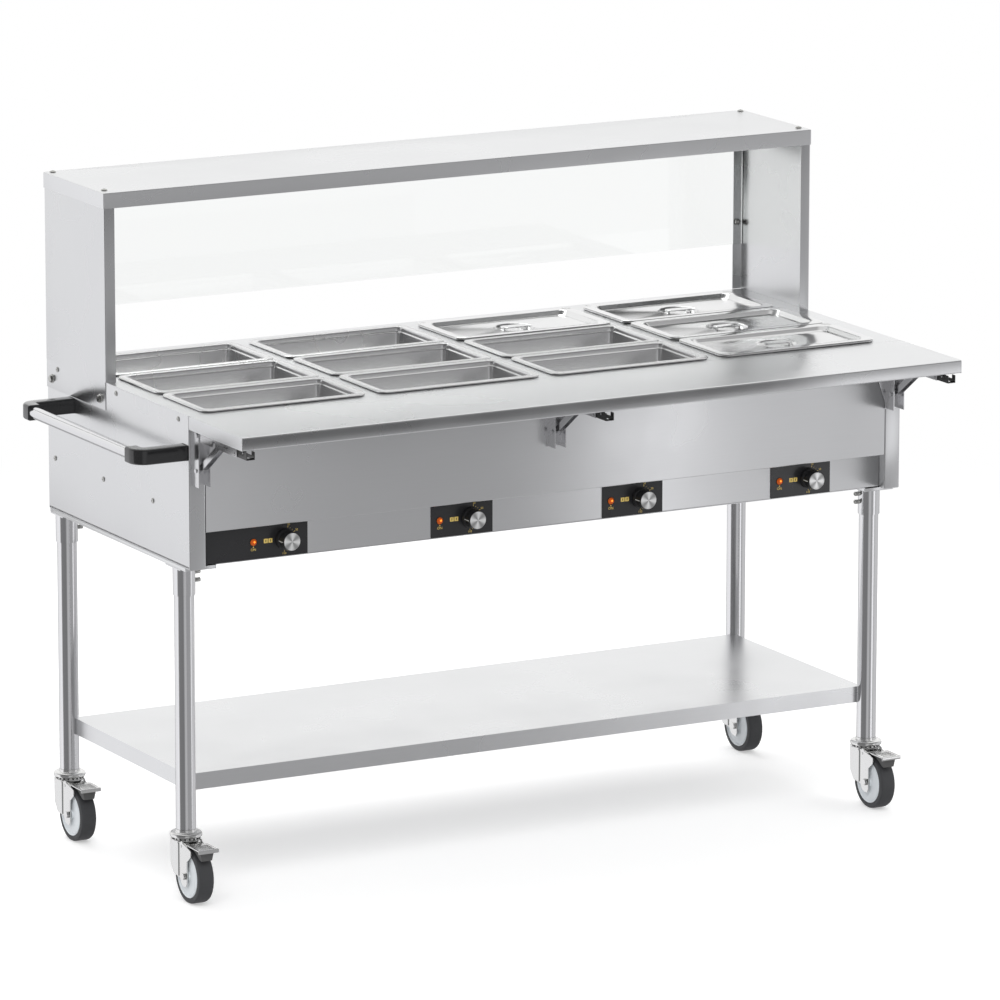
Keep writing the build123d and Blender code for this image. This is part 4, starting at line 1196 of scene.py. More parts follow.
@dataclass
class Overshelf:
    """Upright panels and the shelf over them.

    Attributes:
        half: Half the width over the upright panels.
        front: Front face of the panels.
        rear: Rear face of the panels.
        top: Height of the shelf.
        flange: Width of the panels' flanges.
        skirt: Height of the shelf's skirt.
    """

    half: float = 724.2
    front: float = 20.0
    rear: float = 270.0
    top: float = 1226.0
    flange: float = 20.0
    skirt: float = 28.5

    def panels(self, shop: Workshop) -> None:
        """Panels with their front, rear and top flanges, and a tongue down over the cabinet."""
        sheet = SHEET - 0.2
        mid = sheet / 2
        outer = -self.half + mid
        tip = -self.half + self.flange
        under = self.top - SHEET - 0.2
        skin = Skin()
        line = [(tip, self.front + mid), (outer, self.front + mid), (outer, self.rear - mid),
                (tip, self.rear - mid)]
        skin.fold(line, sheet, 2.0, (DECK_TOP, under), Axis.Z, soft=(False, True))
        tongue = [(outer, self.front + 2.6), (outer, self.rear - 2.6)]
        skin.fold(tongue, sheet, 2.0, (DECK_TOP - 50.5, DECK_TOP), Axis.Z, soft=(True, False))
        cover = [(under - mid, tip), (under - mid, outer + mid)]
        skin.fold(cover, sheet, 2.0, (self.front + SHEET, self.rear - SHEET), Axis.Y)
        shop.fit(skin.both(), "overshelf_uprights", "cabinet", ["steel_upright"],
                 ["overshelf_sides"])

    def shelf(self, shop: Workshop) -> None:
        """Shallow tray turned upside down, with soft bends and small round corners, and a front lip."""
        cover = self.half + 0.2 + SHEET
        front = self.front - 0.2 - SHEET
        rear = self.rear + 0.2 + SHEET
        half_y = (rear - front) / 2
        centre = (0.0, (rear + front) / 2, 0.0)
        low = self.top - self.skirt
        top = self.top
        bend = 2.2
        angles = np.linspace(0.0, math.pi / 2, 6)
        levels = [(cover, half_y, 2.6, low)]
        for a in angles:
            inset = bend * (1 - math.cos(a))
            levels.append((cover - inset, half_y - inset, 2.6, top - bend + bend * math.sin(a)))
        levels.append((cover - SHEET - bend, half_y - SHEET - bend, 1.5, top - SHEET))
        for a in angles[::-1][1:]:
            inset = SHEET + (bend - SHEET) * (1 - math.cos(a))
            levels.append((cover - inset, half_y - inset, 1.5, top - bend + (bend - SHEET) * math.sin(a)))
        levels.append((cover - SHEET, half_y - SHEET, 1.5, low))
        steps = 5
        split = len(angles) + 1
        skin = Skin().rings(levels[:split] + [(8.0, 4.0, 1.0, top)], centre, steps)
        skin.rings([(8.0, 4.0, 1.0, top - SHEET)] + levels[split:], centre, steps)
        skin.uncap(4 * (steps + 1), join=True)
        lip = [(front + 10.0, low + SHEET / 2), (front + SHEET, low + SHEET / 2)]
        span = self.half - self.flange - 0.2
        skin.fold(lip, SHEET, 1.0, (-span, span), Axis.X)
        shop.fit(skin, "overshelf_tray", "cabinet", ["steel_along_x"], ["overshelf_top"])

    def build(self, shop: Workshop) -> None:
        """All pieces of the overshelf."""
        self.panels(shop)
        self.shelf(shop)


@dataclass
class FrontShelf:
    """Folding shelf in front of the cabinet.

    Attributes:
        depth: Distance of its front face from the cabinet.
        flange: Height of its flanges.
        lip: Width of the lip under the front.
        arm_half: Half the width over a bracket's arm.
        slot_out: Distance of an arm's slot from the cabinet.
        slot_drop: Depth of an arm's slot under the shelf's top.
    """

    depth: float = 209.0
    flange: float = 24.0
    lip: float = 10.0
    arm_half: float = 19.2
    slot_out: float = 147.0
    slot_drop: float = 29.0

    def build(self, shop: Workshop) -> None:
        """Sheet folded down at the front with a lip, and a flange at each end."""
        mid = SHEET / 2
        front = BODY_FRONT - self.depth
        rear = BODY_FRONT - 0.4
        low = DECK_TOP - self.flange
        top = DECK_TOP - mid
        line = [(front + self.lip, low + mid), (front + mid, low + mid), (front + mid, top), (rear, top)]
        end = -BODY_HALF + SHEET
        skin = Skin().fold(line, SHEET, 2.2, (end, -end), Axis.X, soft=(False, False))
        edge = rounded_path([(front, low), (front, DECK_TOP), (rear, DECK_TOP), (rear, low)], 2.6, 4)
        for run in ((-BODY_HALF, end), (-end, BODY_HALF)):
            skin.plate(edge, run, Axis.X, 0.35)
        shop.fit(skin, "folding_shelf", "front_shelf", ["steel_along_x"],
                 ["front_shelf"])
        # Each arm slot is a thin near-black patch: painted shade where the hole is.
        slots = Skin()
        for x in BRACKET_X:
            for side in (-1.0, 1.0):
                place = (x + side * self.arm_half, BODY_FRONT - self.slot_out, DECK_TOP - self.slot_drop)
                slots.slab((8.0, 1.7), 1.6, (-0.06, 0.06), place, 0.02, Axis.X)
        shop.fit(slots, "arm_slot_painted_shade", "front_shelf", ["gap_painted_shade"])


@dataclass
class Handle:
    """Push handle: two black corners and a polished tube.

    Attributes:
        x: Where the tube runs.
        z: Height of the tube.
        ends: Where the two arms leave the side panel.
        tube: Radius of the tube.
        height: Height of the plastic corners.
        width: Thickness of the plastic corners.
    """

    x: float = -812.0
    z: float = 819.0
    ends: Span = (-297.0, 163.0)
    tube: float = 11.0
    height: float = 28.0
    width: float = 26.0

    def corner(self, skin: Skin, arm_y: float, direction: float) -> None:
        """One plastic corner: foot on the panel, arm, bend and a collar round the tube."""
        bend = 16.0
        end_y = arm_y + direction * 32.0
        stop_y = end_y - direction * 1.2
        flat = rounded_path([(-BODY_HALF, arm_y), (self.x, arm_y), (self.x, stop_y)], bend, 10)
        flat = np.concatenate([flat, [(self.x, end_y)]])
        path = np.concatenate([flat, np.full((len(flat), 1), self.z)], axis=1)
        section = round_corner_ring(self.width / 2, self.height / 2, 4.2, 4)
        scale = np.ones(len(path))
        scale[-1] = 0.92
        skin.sweep(section, path, (0.0, 0.0, 1.0), scale=scale)
        skin.slab((self.width / 2, self.height / 2), 3.0, (0.0, 4.0), (-BODY_HALF - 4.0, arm_y, self.z), 0.6,
                  Axis.X, 4)

    def build(self, shop: Workshop) -> None:
        """The corners and the tube between them."""
        skin = Skin()
        for arm_y, direction in zip(self.ends, (1.0, -1.0)):
            self.corner(skin, arm_y, direction)
        shop.fit(skin, "handle_corners", "cabinet", ["black_gloss"], ["handle_elbows"])
        inner = self.tube - 1.2
        start, end = self.ends[0] + 26.0, self.ends[1] - 26.0
        tube = [(self.tube, start), (self.tube, end), (inner, end), (inner, start)]
        bar = Skin().turn(tube, (self.x, 0.0, self.z), Axis.Y, 56, closed=True)
        shop.fit(bar, "handle_bar", "cabinet", ["handle_steel"], ["handle_tube"])


@dataclass
class Legs:
    """Tubular legs in their sleeves.

    Attributes:
        radius: Radius of a leg.
        bottom: Lower end of a leg.
        top: Upper end of a leg.
        sleeve: Lower end of a sleeve.
    """

    radius: float = 18.0
    bottom: float = 128.0
    top: float = 601.5
    sleeve: float = 551.0

    def build(self, shop: Workshop) -> None:
        """Legs as hollow tubes, and sleeves with a soft lower rim and a flange under the cabinet."""
        legs, sleeves = Skin(), Skin()
        r = self.radius
        outer = r + 2.1
        for x, y in CORNERS.values():
            tube = [(r, self.bottom), (r, self.top), (r - 1.5, self.top), (r - 1.5, self.bottom)]
            legs.turn(tube, (x, y, 0.0), Axis.Z, 56, closed=True)
            low = self.sleeve
            wall = [(r + 0.1, low), (outer - 0.6, low), (outer - 0.1, low + 0.3), (outer, low + 1.0),
                    (outer, 601.5), (r + 0.1, 601.5)]
            sleeves.turn(wall, (x, y, 0.0), Axis.Z, 56, closed=True)
            lo_x, hi_x = max(x - 33.0, -BODY_HALF), min(x + 33.0, BODY_HALF)
            lo_y, hi_y = y - 33.0, min(y + 33.0, BODY_REAR)
            sleeves.slab(((hi_x - lo_x) / 2, (hi_y - lo_y) / 2), 6.0, (601.5, 603.5),
                         ((lo_x + hi_x) / 2, (lo_y + hi_y) / 2, 0.0), 0.4)
        shop.fit(legs, "leg_tubes", "cabinet", ["tube_steel"], ["legs"])
        shop.fit(sleeves, "leg_sockets", "cabinet", ["tube_steel"], ["leg_sleeves"])


@dataclass
class Fasteners:
    """Bolts, screws and rivets of the sheet metal.

    Attributes:
        hex_size: Half the width of a bolt head over its corners.
        rivet: Radius of a rivet head.
    """

    hex_size: float = 6.8
    rivet: float = 5.2

    def bolt(self, skin: Skin, y: float, z: float) -> None:
        """Hexagon bolt with a washer on the tongue of the left upright."""
        x = -724.2
        washer = [(0.0, 0.0), (8.4, 0.0), (8.4, -0.9), (8.0, -1.2), (0.0, -1.2)]
        skin.turn(washer, (x, y, z), Axis.X, 32)
        head = [(0.0, -1.0), (self.hex_size, -1.0), (self.hex_size, -4.4), (self.hex_size - 0.8, -5.0),
                (0.0, -5.0)]
        skin.turn(head, (x, y, z), Axis.X, 6)

    def dome(self, skin: Skin, place: Sequence[float], axis: Axis, out: float, radius: float,
             height: float) -> None:
        """Round head with a hexagon socket: radius * cos a wide and height * sin a high."""
        angles = np.linspace(0.0, math.radians(78.0), 6)
        shape = [(0.0, -0.2)] + [(radius * math.cos(a), out * height * math.sin(a)) for a in angles]
        crown = shape[-1][1]
        socket = crown - out * 0.4 * height
        shape += [(0.2 * radius, crown), (0.18 * radius, socket), (0.0, socket)]
        skin.turn(shape, place, axis, 28)

    def build(self, shop: Workshop) -> None:
        """Every head on both halves, as one piece."""
        skin = Skin()
        tongue = 852.0
        for y in (44.0, 246.0):
            self.bolt(skin, y, tongue)
        screw_x = -712.2
        for y in (44.0, 258.0):
            self.dome(skin, (screw_x, y, 1226.0), Axis.Z, 1.0, 6.2, 3.4)
        for z in (1014.0, 1160.0):
            self.dome(skin, (screw_x, 264.8, z), Axis.Y, -1.0, 6.0, 4.9)
            back = [(0.0, 270.0), (4.4, 270.0), (4.4, 272.6), (3.8, 272.8), (0.0, 272.8)]
            skin.turn(back, (screw_x, 0.0, z), Axis.Y, 6)
        rivets = [(-724.2, 222.0, 873.0)]
        rivets += [(-BODY_HALF, y, 873.0) for y in (-20.0, -271.0)]
        rivets += [(-BODY_HALF, y, 707.0) for y in (238.0, 36.0, -166.0)]
        for place in rivets:
            self.dome(skin, place, Axis.X, -1.0, self.rivet, 2.6)
        for y in (-LEG_Y, LEG_Y):
            for z in (590.0, 575.0):
                face = -LEG_X + 20.1
                screw = [(0.0, 0.0), (4.0, 0.0), (4.0, 10.2), (3.5, 10.9), (1.8, 10.9), (1.7, 8.6),
                         (0.0, 8.6)]
                skin.turn(screw, (face, y, z), Axis.X, 24)
        # Heads in a darkened finish: painted dark reflections.
        shop.fit(skin.both(), "bolts_and_rivets", "cabinet", ["screw_zinc_painted_reflection"],
                 ["panel_fasteners"])


@dataclass
class Casters:
    """Four braked swivel casters.

    Attributes:
        radius: Wheel radius.
        half: Half the wheel's width.
        trail: Distance of the axle ahead of the swivel axis.
        crown_top: Upper face of the fork's crown.
        cheek: Inner face of a fork cheek, from the wheel's middle.
    """

    radius: float = 50.0
    half: float = 15.0
    trail: float = 33.0
    crown_top: float = 111.0
    cheek: float = 17.5

    def wheel(self, shop: Workshop, name: str, x: float, y: float) -> None:
        """Tyre with a rounded tread, and a pale hub with a raised rim, a dished web and a boss."""
        centre = (x, y - self.trail, self.radius)
        r, half = self.radius, self.half
        tread = [(39.7, -half + 1.0), (41.0, -half), (46.0, -half), (48.6, -half + 1.0), (49.7, -half + 3.2)]
        shape = tread + [(r, -half + 5.5), (r, half - 5.5)] + [(a, -b) for a, b in reversed(tread)]
        node_name = f"caster_wheel_{name}"
        tyre = Skin().turn(shape, centre, Axis.X, 96, closed=True)
        shop.fit(tyre, f"tyre_{name}", node_name, ["tyre_rubber"], [node_name])
        side = [(4.1, -half), (8.0, -half), (8.6, -half + 0.5), (8.6, -half + 1.7), (10.0, -half + 2.2),
                (34.6, -half + 1.9), (35.0, -half + 1.4), (35.4, -half + 1.9), (37.0, -half + 1.9),
                (37.6, -half + 0.4), (38.2, -half), (39.2, -half), (39.7, -half + 0.5)]
        web = side + [(a, -b) for a, b in reversed(side)]
        hub = Skin().turn(web, centre, Axis.X, 72, closed=True)
        shop.fit(hub, f"hub_{name}", node_name, ["hub_nylon"])

    def fork(self, shop: Workshop, name: str, x: float, y: float) -> None:
        """Pressed fork: crown, ball ring in painted shade, cheeks with a turned front edge, axle nuts and
        rivets.
        """
        skin = Skin()
        top = self.crown_top
        axle_y = y - self.trail
        crown = [(6.1, top - 3.0), (25.6, top - 3.0), (26.8, top - 2.4), (27.0, top - 1.2), (26.4, top - 0.3),
                 (24.0, top), (24.0, top + 0.6), (22.6, top + 2.6), (21.0, top + 3.0), (6.1, top + 3.0)]
        skin.turn(crown, (x, y, 0.0), Axis.Z, 64, closed=True)
        # Ring of near-black balls: painted shade of the gap under the crown.
        for step in range(18):
            angle = step * math.pi / 9
            ball = (x + 24.6 * math.cos(angle), y + 24.6 * math.sin(angle), top + 1.5)
            skin.ball(1.4, ball, finish=1)
        cheek = rounded_path(
            [(y, top - 0.2), (y + 24.0, top - 0.2), (y + 23.0, 62.0), (y + 11.0, 45.0), (y - 14.0, 42.5),
             (y - 20.0, 33.0), (y - 27.0, 30.0), (y - 38.0, 30.0), (y - 42.0, 37.0), (y - 42.0, 78.0),
             (y - 57.0, 91.0), (y - 58.0, 100.0), (y - 27.0, 107.0), (y - 24.0, top - 0.2),
             (y - 1.0, top - 0.2)], 2.2, 3)
        swell = rounded_path(
            [(y, top - 0.4), (y + 23.0, top - 0.4), (y + 22.0, 63.0), (y + 10.0, 46.5), (y - 12.5, 44.0),
             (y - 12.5, top - 6.0), (y - 4.0, top - 0.4), (y - 1.0, top - 0.4)], 3.0, 3)
        for side in (-1.0, 1.0):
            inner = x + side * self.cheek
            outer = x + side * (self.cheek + 2.0)
            proud = x + side * (self.cheek + 3.8)
            skin.plate(cheek, (min(inner, outer), max(inner, outer)), Axis.X, 0.5)
            skin.plate(swell, (min(inner, proud), max(inner, proud)), Axis.X, 1.6)
            nut = [(0.0, 0.0), (6.4, 0.0), (6.4, side * 3.4), (5.6, side * 4.3), (0.0, side * 4.3)]
            skin.turn(nut, (outer, axle_y, self.radius), Axis.X, 6)
            rivet = [(0.0, 0.0), (3.0, 0.0), (2.6, side * 0.8), (1.6, side * 1.2), (0.0, side * 1.3)]
            skin.turn(rivet, (outer - side * 0.1, y - 19.0, 101.0), Axis.X, 20)
        axle = [(0.0, -self.cheek - 1.0), (4.0, -self.cheek - 1.0), (4.0, self.cheek + 1.0),
                (0.0, self.cheek + 1.0)]
        skin.turn(axle, (x, axle_y, self.radius), Axis.X, 28)
        node_name = f"caster_fork_{name}"
        shop.fit(skin, f"fork_{name}", node_name, ["zinc_plate", "gap_painted_shade"], [node_name])

    def pedal(self, shop: Workshop, name: str, x: float, y: float) -> None:
        """Brake pedal: bent foot plate with grip ridges, a neck and a dark shoe over the tyre."""
        skin = Skin()
        near, far = y - 45.5, y - 92.0
        low, high = 106.8, 109.8
        foot = (x, (near + far) / 2, 0.0)
        skin.slab((20.0, 1.3), 1.2, (high - 7.6, high - 0.6), (x, far + 1.4, 0.0), 0.6)
        skin.slab((20.0, (near - far) / 2), 5.0, (low, high - 0.8), foot, 0.7)
        for step in range(4):
            at = far + 8.0 + 8.0 * step
            skin.slab((14.0, 1.1), 1.0, (high - 1.0, high), (x, at, 0.0), 0.3)
        skin.slab((14.0, (y - 17.0 - near) / 2 + 0.6), 1.5, (102.5, 106.8),
                  (x, (near + y - 17.0) / 2, 0.0), 0.5)
        barrel = [(1.8, -13.9), (3.4, -13.9), (3.4, 13.9), (1.8, 13.9)]
        skin.turn(barrel, (x, y - 17.0, 104.2), Axis.X, 24, closed=True)
        start, end = y - 47.0, y - 83.0
        span = np.linspace(start, end, 12)
        axle_y = y - self.trail
        reach = self.radius + 5.5
        under = np.maximum(self.radius + np.sqrt(np.maximum(reach**2 - (span - axle_y) ** 2, 0.0)), 87.0)
        outline = np.concatenate([np.stack([span, under], axis=-1),
                                  [(end - 1.5, low + 0.1), (start, low + 0.1)]])
        width = 10.0 + 3.8 * (outline[:, 1] - 87.0) / (low - 87.0)
        shoe = np.stack([np.column_stack([x + side * width, outline]) for side in (-1.0, -0.9, 0.9, 1.0)])
        skin.grid(shoe, finish=1)
        node_name = f"brake_pedal_{name}"
        shop.fit(skin, f"pedal_{name}", node_name, ["zinc_plate", "shoe_rubber"], [node_name])

    def stems(self, shop: Workshop) -> None:
        """Swivel heads: kingpin, ball race with a round rim, and the plug inside the leg."""
        race = [(0.0, 104.7), (8.2, 104.7), (9.0, 105.5), (9.0, 107.7), (6.0, 107.7), (6.0, 114.3),
                (26.6, 114.3), (28.6, 115.0), (29.4, 117.2), (29.2, 119.6), (28.0, 121.6), (25.8, 122.8),
                (23.0, 123.0), (20.4, 122.0), (19.2, 123.0), (18.4, 127.6), (16.3, 128.0), (16.3, 178.0),
                (0.0, 178.0)]
        skin = Skin()
        for x, y in CORNERS.values():
            skin.turn(race, (x, y, 0.0), Axis.Z, 64)
        shop.fit(skin, "swivel_heads", "cabinet", ["zinc_plate"], ["caster_stems"])

    def build(self, shop: Workshop) -> None:
        """The pieces of all four casters."""
        self.stems(shop)
        for name, (x, y) in CORNERS.items():
            self.wheel(shop, name, x, y)
            self.fork(shop, name, x, y)
            self.pedal(shop, name, x, y)


@dataclass
class Pans:
    """Gastronorm pans and their lids.

    Attributes:
        length: Length over the rim.
        width: Width over the rim.
        depth: Depth of a pan.
        corner: Corner radius of the rim.
    """

    length: float = 325.0
    width: float = 176.0
    depth: float = 100.0
    corner: float = 20.0

    def pan(self, shop: Workshop, name: str, x: float, y: float) -> None:
        """Drawn pan: turned-down rim, raised stacking step, tapered walls and a soft bottom edge.

        The wall is one closed loop of round-cornered rectangles: outside up, over the rim and down
        inside.
        """
        hx, hy = self.length / 2, self.width / 2
        top = PAN_Z + 4.0
        floor = top - self.depth
        wall = 0.9
        inner = [(13.0, top), (13.9, top - 0.5), (14.6, top - 2.0), (15.2, top - 8.0), (17.6, top - 9.4),
                 (18.2, top - 11.0), (22.4, floor + 9.0), (23.6, floor + 4.0), (26.6, floor + 1.6),
                 (31.0, floor + wall)]
        outer = [(31.0, floor), (26.0, floor + 0.7), (22.7, floor + 3.6), (21.5, floor + 9.0),
                 (17.3, top - 11.0), (16.7, top - 9.9), (14.3, top - 8.2), (13.6, top - 2.6),
                 (12.9, top - 1.3), (12.2, top - 0.9)]
        rim = [(2.2, top - 0.9), (1.6, top - 1.3), (1.1, top - 2.0), (1.3, top - 2.8), (2.4, top - 3.5),
               (3.4, top - 3.6), (3.4, top - 4.0), (2.2, top - 4.0), (0.8, top - 3.3), (0.0, top - 2.2),
               (0.3, top - 0.9), (1.6, top)]
        skin = Skin()
        outside = outer + rim
        levels = [(hx - a, hy - a, max(self.corner - 0.55 * a, 6.0), z) for a, z in outside + inner]
        skin.rings(levels, (x, y, 0.0), 8)
        shop.fit(skin, f"tray_{name}", f"pan_{name}", ["pan_steel"], [f"pan_{name}"])

    def lid(self, shop: Workshop, name: str, x: float, y: float) -> None:
        """Dished lid: flat border, sloping walls down to a sunk field, a round pocket and a grip over it.

        Upper and under surface are round-cornered rectangles that shrink inwards and turn into
        circles at the pocket.
        """
        low = PAN_Z + 4.2
        sheet = 0.9
        top = low + sheet
        hx, hy = self.length / 2 - sheet, self.width / 2 - sheet
        cover = [(0.0, -0.9), (0.0, -0.3), (0.3, 0.0), (15.4, 0.0), (16.6, -0.4), (17.5, -1.4), (21.2, -6.8),
                 (22.2, -7.8), (23.6, -8.1)]
        under = [(24.2, -9.0), (22.4, -8.7), (21.2, -7.7), (17.4, -2.2), (16.4, -1.2), (15.2, -0.9),
                 (0.0, -0.9)]
        bowl = [(39.6, -8.1), (38.2, -8.5), (37.2, -9.6), (36.4, -12.8), (35.4, -13.8), (33.8, -14.1)]
        base = [(34.0, -15.0), (36.2, -14.6), (37.4, -13.4), (38.0, -10.4), (39.4, -9.0)]
        outside = [(hx - a, hy - a, max(19.1 - 0.15 * a, 15.0), top + z) for a, z in cover]
        outside += [(r, r, r, top + z) for r, z in bowl]
        inside = [(r, r, r, top + z) for r, z in base]
        inside += [(hx - a, hy - a, max(19.1 - 0.15 * a, 15.0), top + z) for a, z in under]
        steps = 8
        skin = Skin().rings(outside, (x, y, 0.0), steps).rings(inside, (x, y, 0.0), steps)
        skin.uncap(4 * (steps + 1))
        grip = [(26.2, 11.2, 10.6, -6.9), (27.0, 12.0, 11.1, -6.3), (26.8, 11.8, 11.0, -5.7),
                (25.6, 10.6, 10.0, -5.2), (20.0, 6.0, 5.6, -5.1)]
        skin.rings([(a, b, c, top + z) for a, b, c, z in grip], (x, y, 0.0), 7)
        for side in (-1.0, 1.0):
            skin.slab((1.8, 7.6), 1.7, (top - 14.1, top - 6.8), (x + side * 23.4, y, 0.0), 0.3)
        shop.fit(skin, f"cover_{name}", f"lid_{name}", ["lid_steel"], [f"lid_{name}"])

    def build(self, shop: Workshop) -> None:
        """All pans, and the lids of those that are covered."""
        for column, x in enumerate(PAN_X, 1):
            for row, y in PAN_ROWS.items():
                name = f"{column}_{row}"
                self.pan(shop, name, x, y)
                if name in COVERED:
                    self.lid(shop, name, x, y)


@dataclass
class Services:
    """Drain lever and cable gland behind the cabinet.

    Attributes:
        lever_x: Where the valve's stem stands.
        lever_y: Where the valve's stem stands.
        gland_x: Middle of the gland.
        gland_z: Height of the gland.
    """

    lever_x: float = 300.0
    lever_y: float = 288.0
    gland_x: float = -600.0
    gland_z: float = 650.0

    def build(self, shop: Workshop) -> None:
        """Lever with a round hub and a soft grip, and a ribbed gland with its nut."""
        low = 672.0
        lever = Skin()
        hub = [(4.05, low), (8.0, low), (8.0, low + 5.2), (7.2, low + 6.0), (4.05, low + 6.0)]
        lever.turn(hub, (self.lever_x, self.lever_y, 0.0), Axis.Z, 36, closed=True)
        lever.slab((31.0, 7.0), 6.8, (low, low + 3.0), (self.lever_x + 32.0, self.lever_y, 0.0), 0.8, steps=6)
        shop.fit(lever, "valve_lever", "drain_lever", ["black_moulded"], ["drain_lever"])
        gland = Skin()
        start = (self.gland_x, 0.0, self.gland_z)
        face = BODY_REAR
        gland.turn([(10.0, face), (13.0, face), (13.0, face + 5.2), (12.4, face + 6.0),
                    (10.0, face + 6.0)], start,
                   Axis.Y, 6, closed=True)
        dome = [(5.0, face - 13.2), (10.0, face - 13.2), (10.0, face + 20.0), (9.2, face + 22.4),
                (7.4, face + 24.0), (5.0, face + 24.0)]
        gland.turn(dome, start, Axis.Y, 40, closed=True)
        shop.fit(gland, "cable_entry_gland", "cabinet", ["black_moulded"], ["cable_gland"])


# Studio

@dataclass
class Studio:
    """Floor, soft light and the camera of the photograph.

    Attributes:
        place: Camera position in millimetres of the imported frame.
        right: Camera's right direction.
        up: Camera's up direction.
        lens: Focal length for a 36 mm sensor.
        ambient: Strength of the surroundings as light.
        floor_lift: Brightness added to the floor where it is seen directly.
        fade: Distances from the object between which the floor turns plain white.
        tones: Bearing in degrees and brightness of the studio as metal mirrors it.
    """

    place: tuple[float, float, float] = (-6175.7, -11518.17, 3494.45)
    right: tuple[float, float, float] = (0.879652, -0.475616, 0.001074)
    up: tuple[float, float, float] = (0.101079, 0.189152, 0.976732)
    lens: float = 266.3
    ambient: float = 0.66
    floor_lift: float = 0.42
    fade: Span = (1.6, 3.4)
    tones: tuple[Span, ...] = (
        (-180.0, 1.0), (-174.0, 0.95), (-165.0, 0.40), (-146.0, 0.42), (-138.0, 0.90), (-100.0, 0.95),
        (-92.0, 1.0), (-72.0, 1.0), (-64.0, 0.22), (-8.0, 0.20), (2.0, 0.50), (20.0, 0.52), (27.0, 0.36),
        (70.0, 0.38), (84.0, 0.62), (130.0, 0.66), (140.0, 0.40), (164.0, 0.40), (174.0, 0.95), (180.0, 1.0),
    )

    def camera(self) -> None:
        """Camera turned to the photograph's axes."""
        data = bpy.data.cameras.new("photo_camera")
        data.sensor_width = 36.0
        data.lens = self.lens
        data.clip_start = 0.05
        data.clip_end = 200.0
        camera = bpy.data.objects.new("photo_camera", data)
        right, up = Vector(self.right), Vector(self.up)
        back = right.cross(up).normalized()
        turn = Matrix((right, up, back)).transposed().to_4x4()
        camera.matrix_world = Matrix.Translation(Vector(self.place) * MM) @ turn
        show(camera)
        bpy.context.scene.camera = camera

    def area(self, name: str, place: Sequence[float], aim: Sequence[float], size: Span, power: float) -> None:
        """Soft rectangular lamp that looks at a point.

        Args:
            name: Name of the lamp.
            place: Its position in metres.
            aim: The point it looks at.
            size: Its length and width in metres.
            power: Its power in watts.
        """
        data = bpy.data.lights.new(name, "AREA")
        data.shape = "RECTANGLE"
        data.size, data.size_y = size
        data.energy = power
        lamp = bpy.data.objects.new(name, data)
        lamp.location = place
        lamp.rotation_mode = "QUATERNION"
        lamp.rotation_quaternion = (Vector(aim) - Vector(place)).to_track_quat("-Z", "Y")
        lamp.visible_glossy = False
        show(lamp)

    def tone_ramp(self, tree: bpy.types.NodeTree) -> bpy.types.NodeSocket:
        """Brightness of the studio by compass direction, as mirrored in metal.

        The bearing is the angle of a direction from straight back to the camera, positive to the
        camera's right: atan2(direction . right, direction . back). A ramp over it gives the tone,
        which rises to white overhead.

        Args:
            tree: Node tree of the world.

        Returns:
            Socket that gives the tone.
        """
        place = node(tree, "ShaderNodeTexCoord").outputs["Generated"]
        flat = Vector((self.right[0], self.right[1], 0.0)).normalized()
        back = Vector((flat.y, -flat.x, 0.0))
        aside, ahead = (
            node(tree, "ShaderNodeVectorMath", place, axis, operation="DOT_PRODUCT").outputs["Value"]
            for axis in (flat, back)
        )
        bearing = maths(tree, "ARCTAN2", aside, ahead)
        share = node(tree, "ShaderNodeMapRange", Value=bearing, From_Min=-math.pi, From_Max=math.pi)
        ramp = node(tree, "ShaderNodeValToRGB", share.outputs["Result"])
        elements = ramp.color_ramp.elements
        elements.remove(elements[0])
        for index, (degrees, tone) in enumerate(self.tones):
            at = degrees / 360.0 + 0.5
            element = elements[0] if index == 0 else elements.new(at)
            element.position = at
            element.color = (tone, tone, 1.02 * tone, 1.0)
        rise = node(tree, "ShaderNodeSeparateXYZ", place).outputs["Z"]
        away = maths(tree, "MINIMUM", ahead, 0.0)
        height = maths(tree, "MULTIPLY_ADD", away, -0.9, maths(tree, "MULTIPLY", rise, 0.75))
        brow = smooth_step(tree, rise, (0.2, 0.5), (1.0, 0.35))
        shaded = scaled(tree, ramp.outputs["Color"], brow)
        mix = node(tree, "ShaderNodeMix", data_type="RGBA", Factor=smooth_step(tree, height, (0.45, 0.9)))
        tree.links.new(shaded, mix.inputs[6])
        mix.inputs[7].default_value = WHITE
        return mix.outputs[2]

    def world(self) -> None:
        """Even pale surroundings: white where seen directly, graded where mirrored, softer as light."""
        world = bpy.data.worlds.new("studio")
        bpy.context.scene.world = world
        world.use_nodes = True
        tree = world.node_tree
        tree.nodes.clear()
        path = node(tree, "ShaderNodeLightPath").outputs
        seen = maths(tree, "MAXIMUM", path["Is Camera Ray"], path["Is Transmission Ray"])
        soft, white, mirrored = (
            node(tree, "ShaderNodeBackground", Color=colour, Strength=strength).outputs[0]
            for colour, strength in ((WHITE, self.ambient), (WHITE, 1.0), (self.tone_ramp(tree), 1.0))
        )
        unseen = node(tree, "ShaderNodeMixShader", path["Is Glossy Ray"], soft, mirrored)
        mix = node(tree, "ShaderNodeMixShader", seen, unseen.outputs[0], white)
        node(tree, "ShaderNodeOutputWorld", mix.outputs[0])

    def board(self, name: str, corners: Array) -> tuple[bpy.types.Object, bpy.types.NodeTree]:
        """Flat board of the studio with a matt white finish.

        Args:
            name: Name of the board.
            corners: Four corners in metres.

        Returns:
            The board and its material's tree.
        """
        mesh = bpy.data.meshes.new(name)
        mesh.from_pydata(corners.tolist(), [], [(0, 1, 2, 3)])
        material, tree, shader = blank_material(name)
        shader.name = "paint"
        shader.inputs["Base Color"].default_value = (0.80, 0.80, 0.80, 1.0)
        shader.inputs["Roughness"].default_value = 0.9
        shader.inputs["Specular IOR Level"].default_value = 0.1
        mesh.materials.append(material)
        board = bpy.data.objects.new(name, mesh)
        show(board)
        return board, tree

